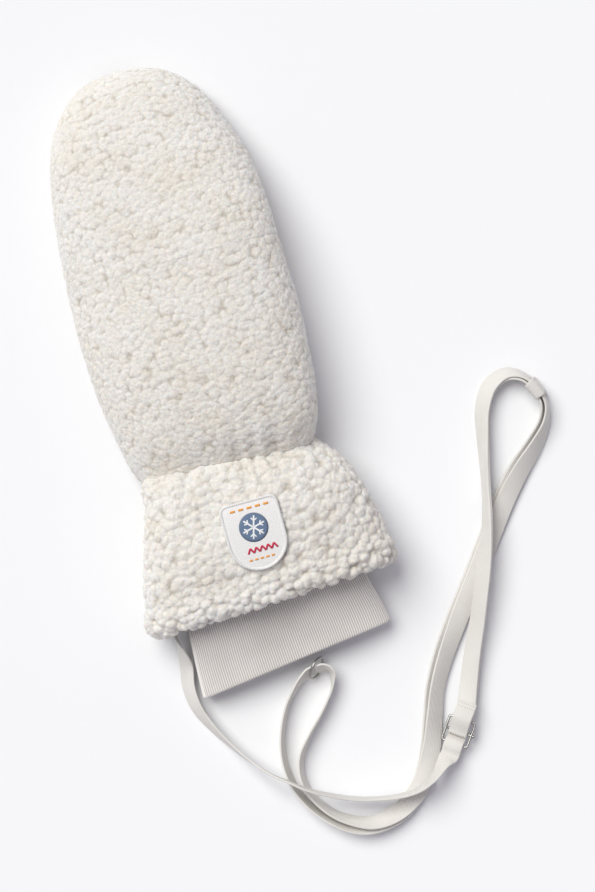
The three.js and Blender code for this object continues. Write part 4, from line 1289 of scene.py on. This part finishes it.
class MITTEN_OT_patch(bpy.types.Operator):
    """Felt shield with an overlocked edge and a plain winter motif in thread"""

    bl_idname = "mitten.patch"
    bl_label = "Felt patch"

    def execute(self, context):
        shield = smooth_shell("patch_felt", ["patch"], 0.0004, 4)
        shield.data.materials.append(felt_material("patch_felt", context.scene.mitten_trim.felt))
        height = top_finder(shield.data)
        finish_piece(shield, "felt", "patch")
        threads = {name: felt_material(f"thread_{name}", rgb, 2200.0) for name, rgb in THREADS.items()}
        self.edge(height)
        self.disc(height, threads["slate"])
        self.flake(height, threads["white"])
        self.rows(height, threads)
        return {"FINISHED"}

    def edge(self, height):
        """Overlock stitches side by side all round the shield's edge."""
        inset = 0.9
        half, corner = PATCH["width"] / 2 - inset, 3.5
        top, bottom = PATCH["top"] - inset, PATCH["bottom"] + inset
        straight = bottom + half
        corners = [math.pi / 2 * k / 6 for k in range(7)]
        plan = [(half - corner + corner * math.cos(a), top - corner + corner * math.sin(a)) for a in corners]
        plan += [(-x, y) for x, y in reversed(plan)]
        plan += [(-half * math.cos(a), straight - half * math.sin(a)) for a in np.linspace(0, math.pi, 33)]
        places = [((PATCH["x"] + x) * MM, y * MM) for x, y in plan]
        points = [Vector((x, y, height(x, y) + 0.0001)) for x, y in places]
        thread = felt_material("edge_thread", (0.9, 0.89, 0.875), 2600.0)
        stitch_row("patch_edge", points, thread, 0.0009, 0.001, 0.0021, 0.3, closed=True)

    def disc(self, height, thread):
        rings, spokes = DISC["rings"], DISC["spokes"]
        centre = Vector((PATCH["x"], DISC["y"])) * MM
        turns = [2 * math.pi * k / spokes for k in range(spokes)]
        disc = []
        for r in range(rings):
            radius = DISC["radius"] * MM * (1 - r / rings)
            crown = 0.00035 if r else 0.0
            places = [centre + Vector((math.cos(a), math.sin(a))) * radius for a in turns]
            disc.append([Vector((x, y, height(x, y) + crown)) for x, y in places])
        across = [k / spokes for k in range(spokes + 1)]
        mesh = loft_mesh("motif_disc", disc, across, [MM * k for k in range(rings + 1)])
        mesh.materials.append(thread)
        finish_piece(new_piece("motif_disc", mesh), "felt")

    def flake(self, height, thread):
        """Six arms with a fork on each."""
        centre = Vector((PATCH["x"], DISC["y"])) * MM
        bars = []
        for k in range(6):
            angle = math.pi / 3 * k + 0.26
            way = Vector((math.cos(angle), math.sin(angle)))
            side = Vector((-way.y, way.x))
            fork = centre + way * 3.4 * MM
            bars.append((centre, centre + way * 6.1 * MM, 0.0009))
            for hand in (-1, 1):
                bars.append((fork, fork + (way * 1.4 + side * hand * 1.5) * MM, 0.0007))
        satin_bars("motif_flake", bars, height, 0.0003, 0.0003, thread)

    def rows(self, height, threads):
        """A zigzag below the disc, and a row of dashes at the shield's top and bottom."""
        up, down = Vector((1.55, 2.6)) * MM, Vector((3.1, 0)) * MM
        peaks = []
        for k in range(-2, 3):
            low = Vector((PATCH["x"] + k * 3.1, -97.2)) * MM
            peaks += [(low, low + up, 0.001), (low + up, low + down, 0.001)]
        satin_bars("motif_zigzag", peaks, height, 0.0, 0.0004, threads["crimson"])
        dashes = []
        for k in range(5):
            low = Vector((PATCH["x"] - 6.6 + k * 2.9, -100.6)) * MM
            high = Vector((PATCH["x"] - 9.8 + k * 4.4, -74.2)) * MM
            dashes.append((low, low + Vector((1.7, 0)) * MM, 0.0009))
            dashes.append((high, high + Vector((2.6, 0)) * MM, 0.0011))
        satin_bars("motif_dashes", dashes, height, 0.0, 0.0004, threads["orange"])


# Stage: the key light comes from this far to the image's right, up, and above the floor
LIGHT_FROM = (-0.5, 0.52, 1.0)
LIGHT_COLOUR = (0.99, 1.0, 0.955)
SKY_COLOUR = (0.92, 0.9, 1.0)
FLOOR_COLOUR = (0.9, 0.9, 0.915)
FLOOR_HALF = 4.0


class MITTEN_OT_stage(bpy.types.Operator):
    """Camera over the mitten, pale floor and soft studio light"""

    bl_idname = "mitten.stage"
    bl_label = "Stage"

    def execute(self, context):
        stage = context.scene.mitten_stage
        camera = bpy.data.objects.new("camera", bpy.data.cameras.new("camera"))
        context.scene.collection.objects.link(camera)
        camera.data.lens = stage.lens
        camera.location = (*stage.aim, stage.distance)
        camera.rotation_euler = (0, 0, stage.turn)
        context.scene.camera = camera
        context.scene.view_settings.view_transform = "Standard"
        self.floor()
        self.light(context)
        world = bpy.data.worlds.new("studio")
        world.use_nodes = True
        background = world.node_tree.nodes["Background"]
        background.inputs["Color"].default_value = colour(SKY_COLOUR)
        background.inputs["Strength"].default_value = stage.sky
        context.scene.world = world
        return {"FINISHED"}

    def floor(self):
        corners = [(x * FLOOR_HALF, y * FLOOR_HALF, 0) for x, y in ((-1, -1), (1, -1), (1, 1), (-1, 1))]
        mesh = bpy.data.meshes.new("floor")
        mesh.from_pydata(corners, [], [(0, 1, 2, 3)])
        floor = new_piece("floor", mesh)
        material, _, shader = new_material("pale_floor", 0.9)
        shader.inputs["Base Color"].default_value = colour(FLOOR_COLOUR)
        mesh.materials.append(material)

    def light(self, context):
        """A soft distant light."""
        stage = context.scene.mitten_stage
        right = Vector((math.cos(stage.turn), math.sin(stage.turn), 0))
        up = Vector((-math.sin(stage.turn), math.cos(stage.turn), 0))
        lamp = bpy.data.lights.new("key", "SUN")
        lamp.energy = stage.key
        lamp.angle = stage.softness
        lamp.color = LIGHT_COLOUR
        piece = bpy.data.objects.new("key", lamp)
        context.scene.collection.objects.link(piece)
        source = right * LIGHT_FROM[0] + up * LIGHT_FROM[1] + Vector((0, 0, LIGHT_FROM[2]))
        piece.location = source
        piece.rotation_euler = (-source).to_track_quat("-Z", "Y").to_euler()


class MITTEN_PT_panel(bpy.types.Panel):
    """Lists the mitten's sizes and colours, and the operators that make its pieces"""

    bl_idname = "MITTEN_PT_panel"
    bl_label = "Fleece mitten"
    bl_space_type = "VIEW_3D"
    bl_region_type = "UI"
    bl_category = "Mitten"

    def draw(self, context):
        layout = self.layout
        for group_name in GROUPS:
            group = getattr(context.scene, group_name)
            box = layout.box()
            for name in group.__annotations__:
                box.prop(group, name)
        for operator in OPERATORS:
            layout.operator(operator.bl_idname)


OPERATORS = (
    MITTEN_OT_stage,
    MITTEN_OT_leash,
    MITTEN_OT_fleece,
    MITTEN_OT_palm,
    MITTEN_OT_rib_cuff,
    MITTEN_OT_patch,
)
GROUPS = {
    "mitten_fleece": MittenFleece,
    "mitten_strap": MittenStrap,
    "mitten_trim": MittenTrim,
    "mitten_stage": MittenStage,
}
CLASSES = (*GROUPS.values(), *OPERATORS, MITTEN_PT_panel)


def register():
    for cls in CLASSES:
        bpy.utils.register_class(cls)
    for name, group in GROUPS.items():
        setattr(bpy.types.Scene, name, bpy.props.PointerProperty(type=group))


def unregister():
    for name in GROUPS:
        delattr(bpy.types.Scene, name)
    for cls in reversed(CLASSES):
        bpy.utils.unregister_class(cls)


def main():
    register()
    bpy.ops.mitten.stage()
    bpy.ops.mitten.leash()
    bpy.ops.mitten.fleece()
    bpy.ops.mitten.palm()
    bpy.ops.mitten.rib_cuff()
    bpy.ops.mitten.patch()


if __name__ == "__main__":
    main()
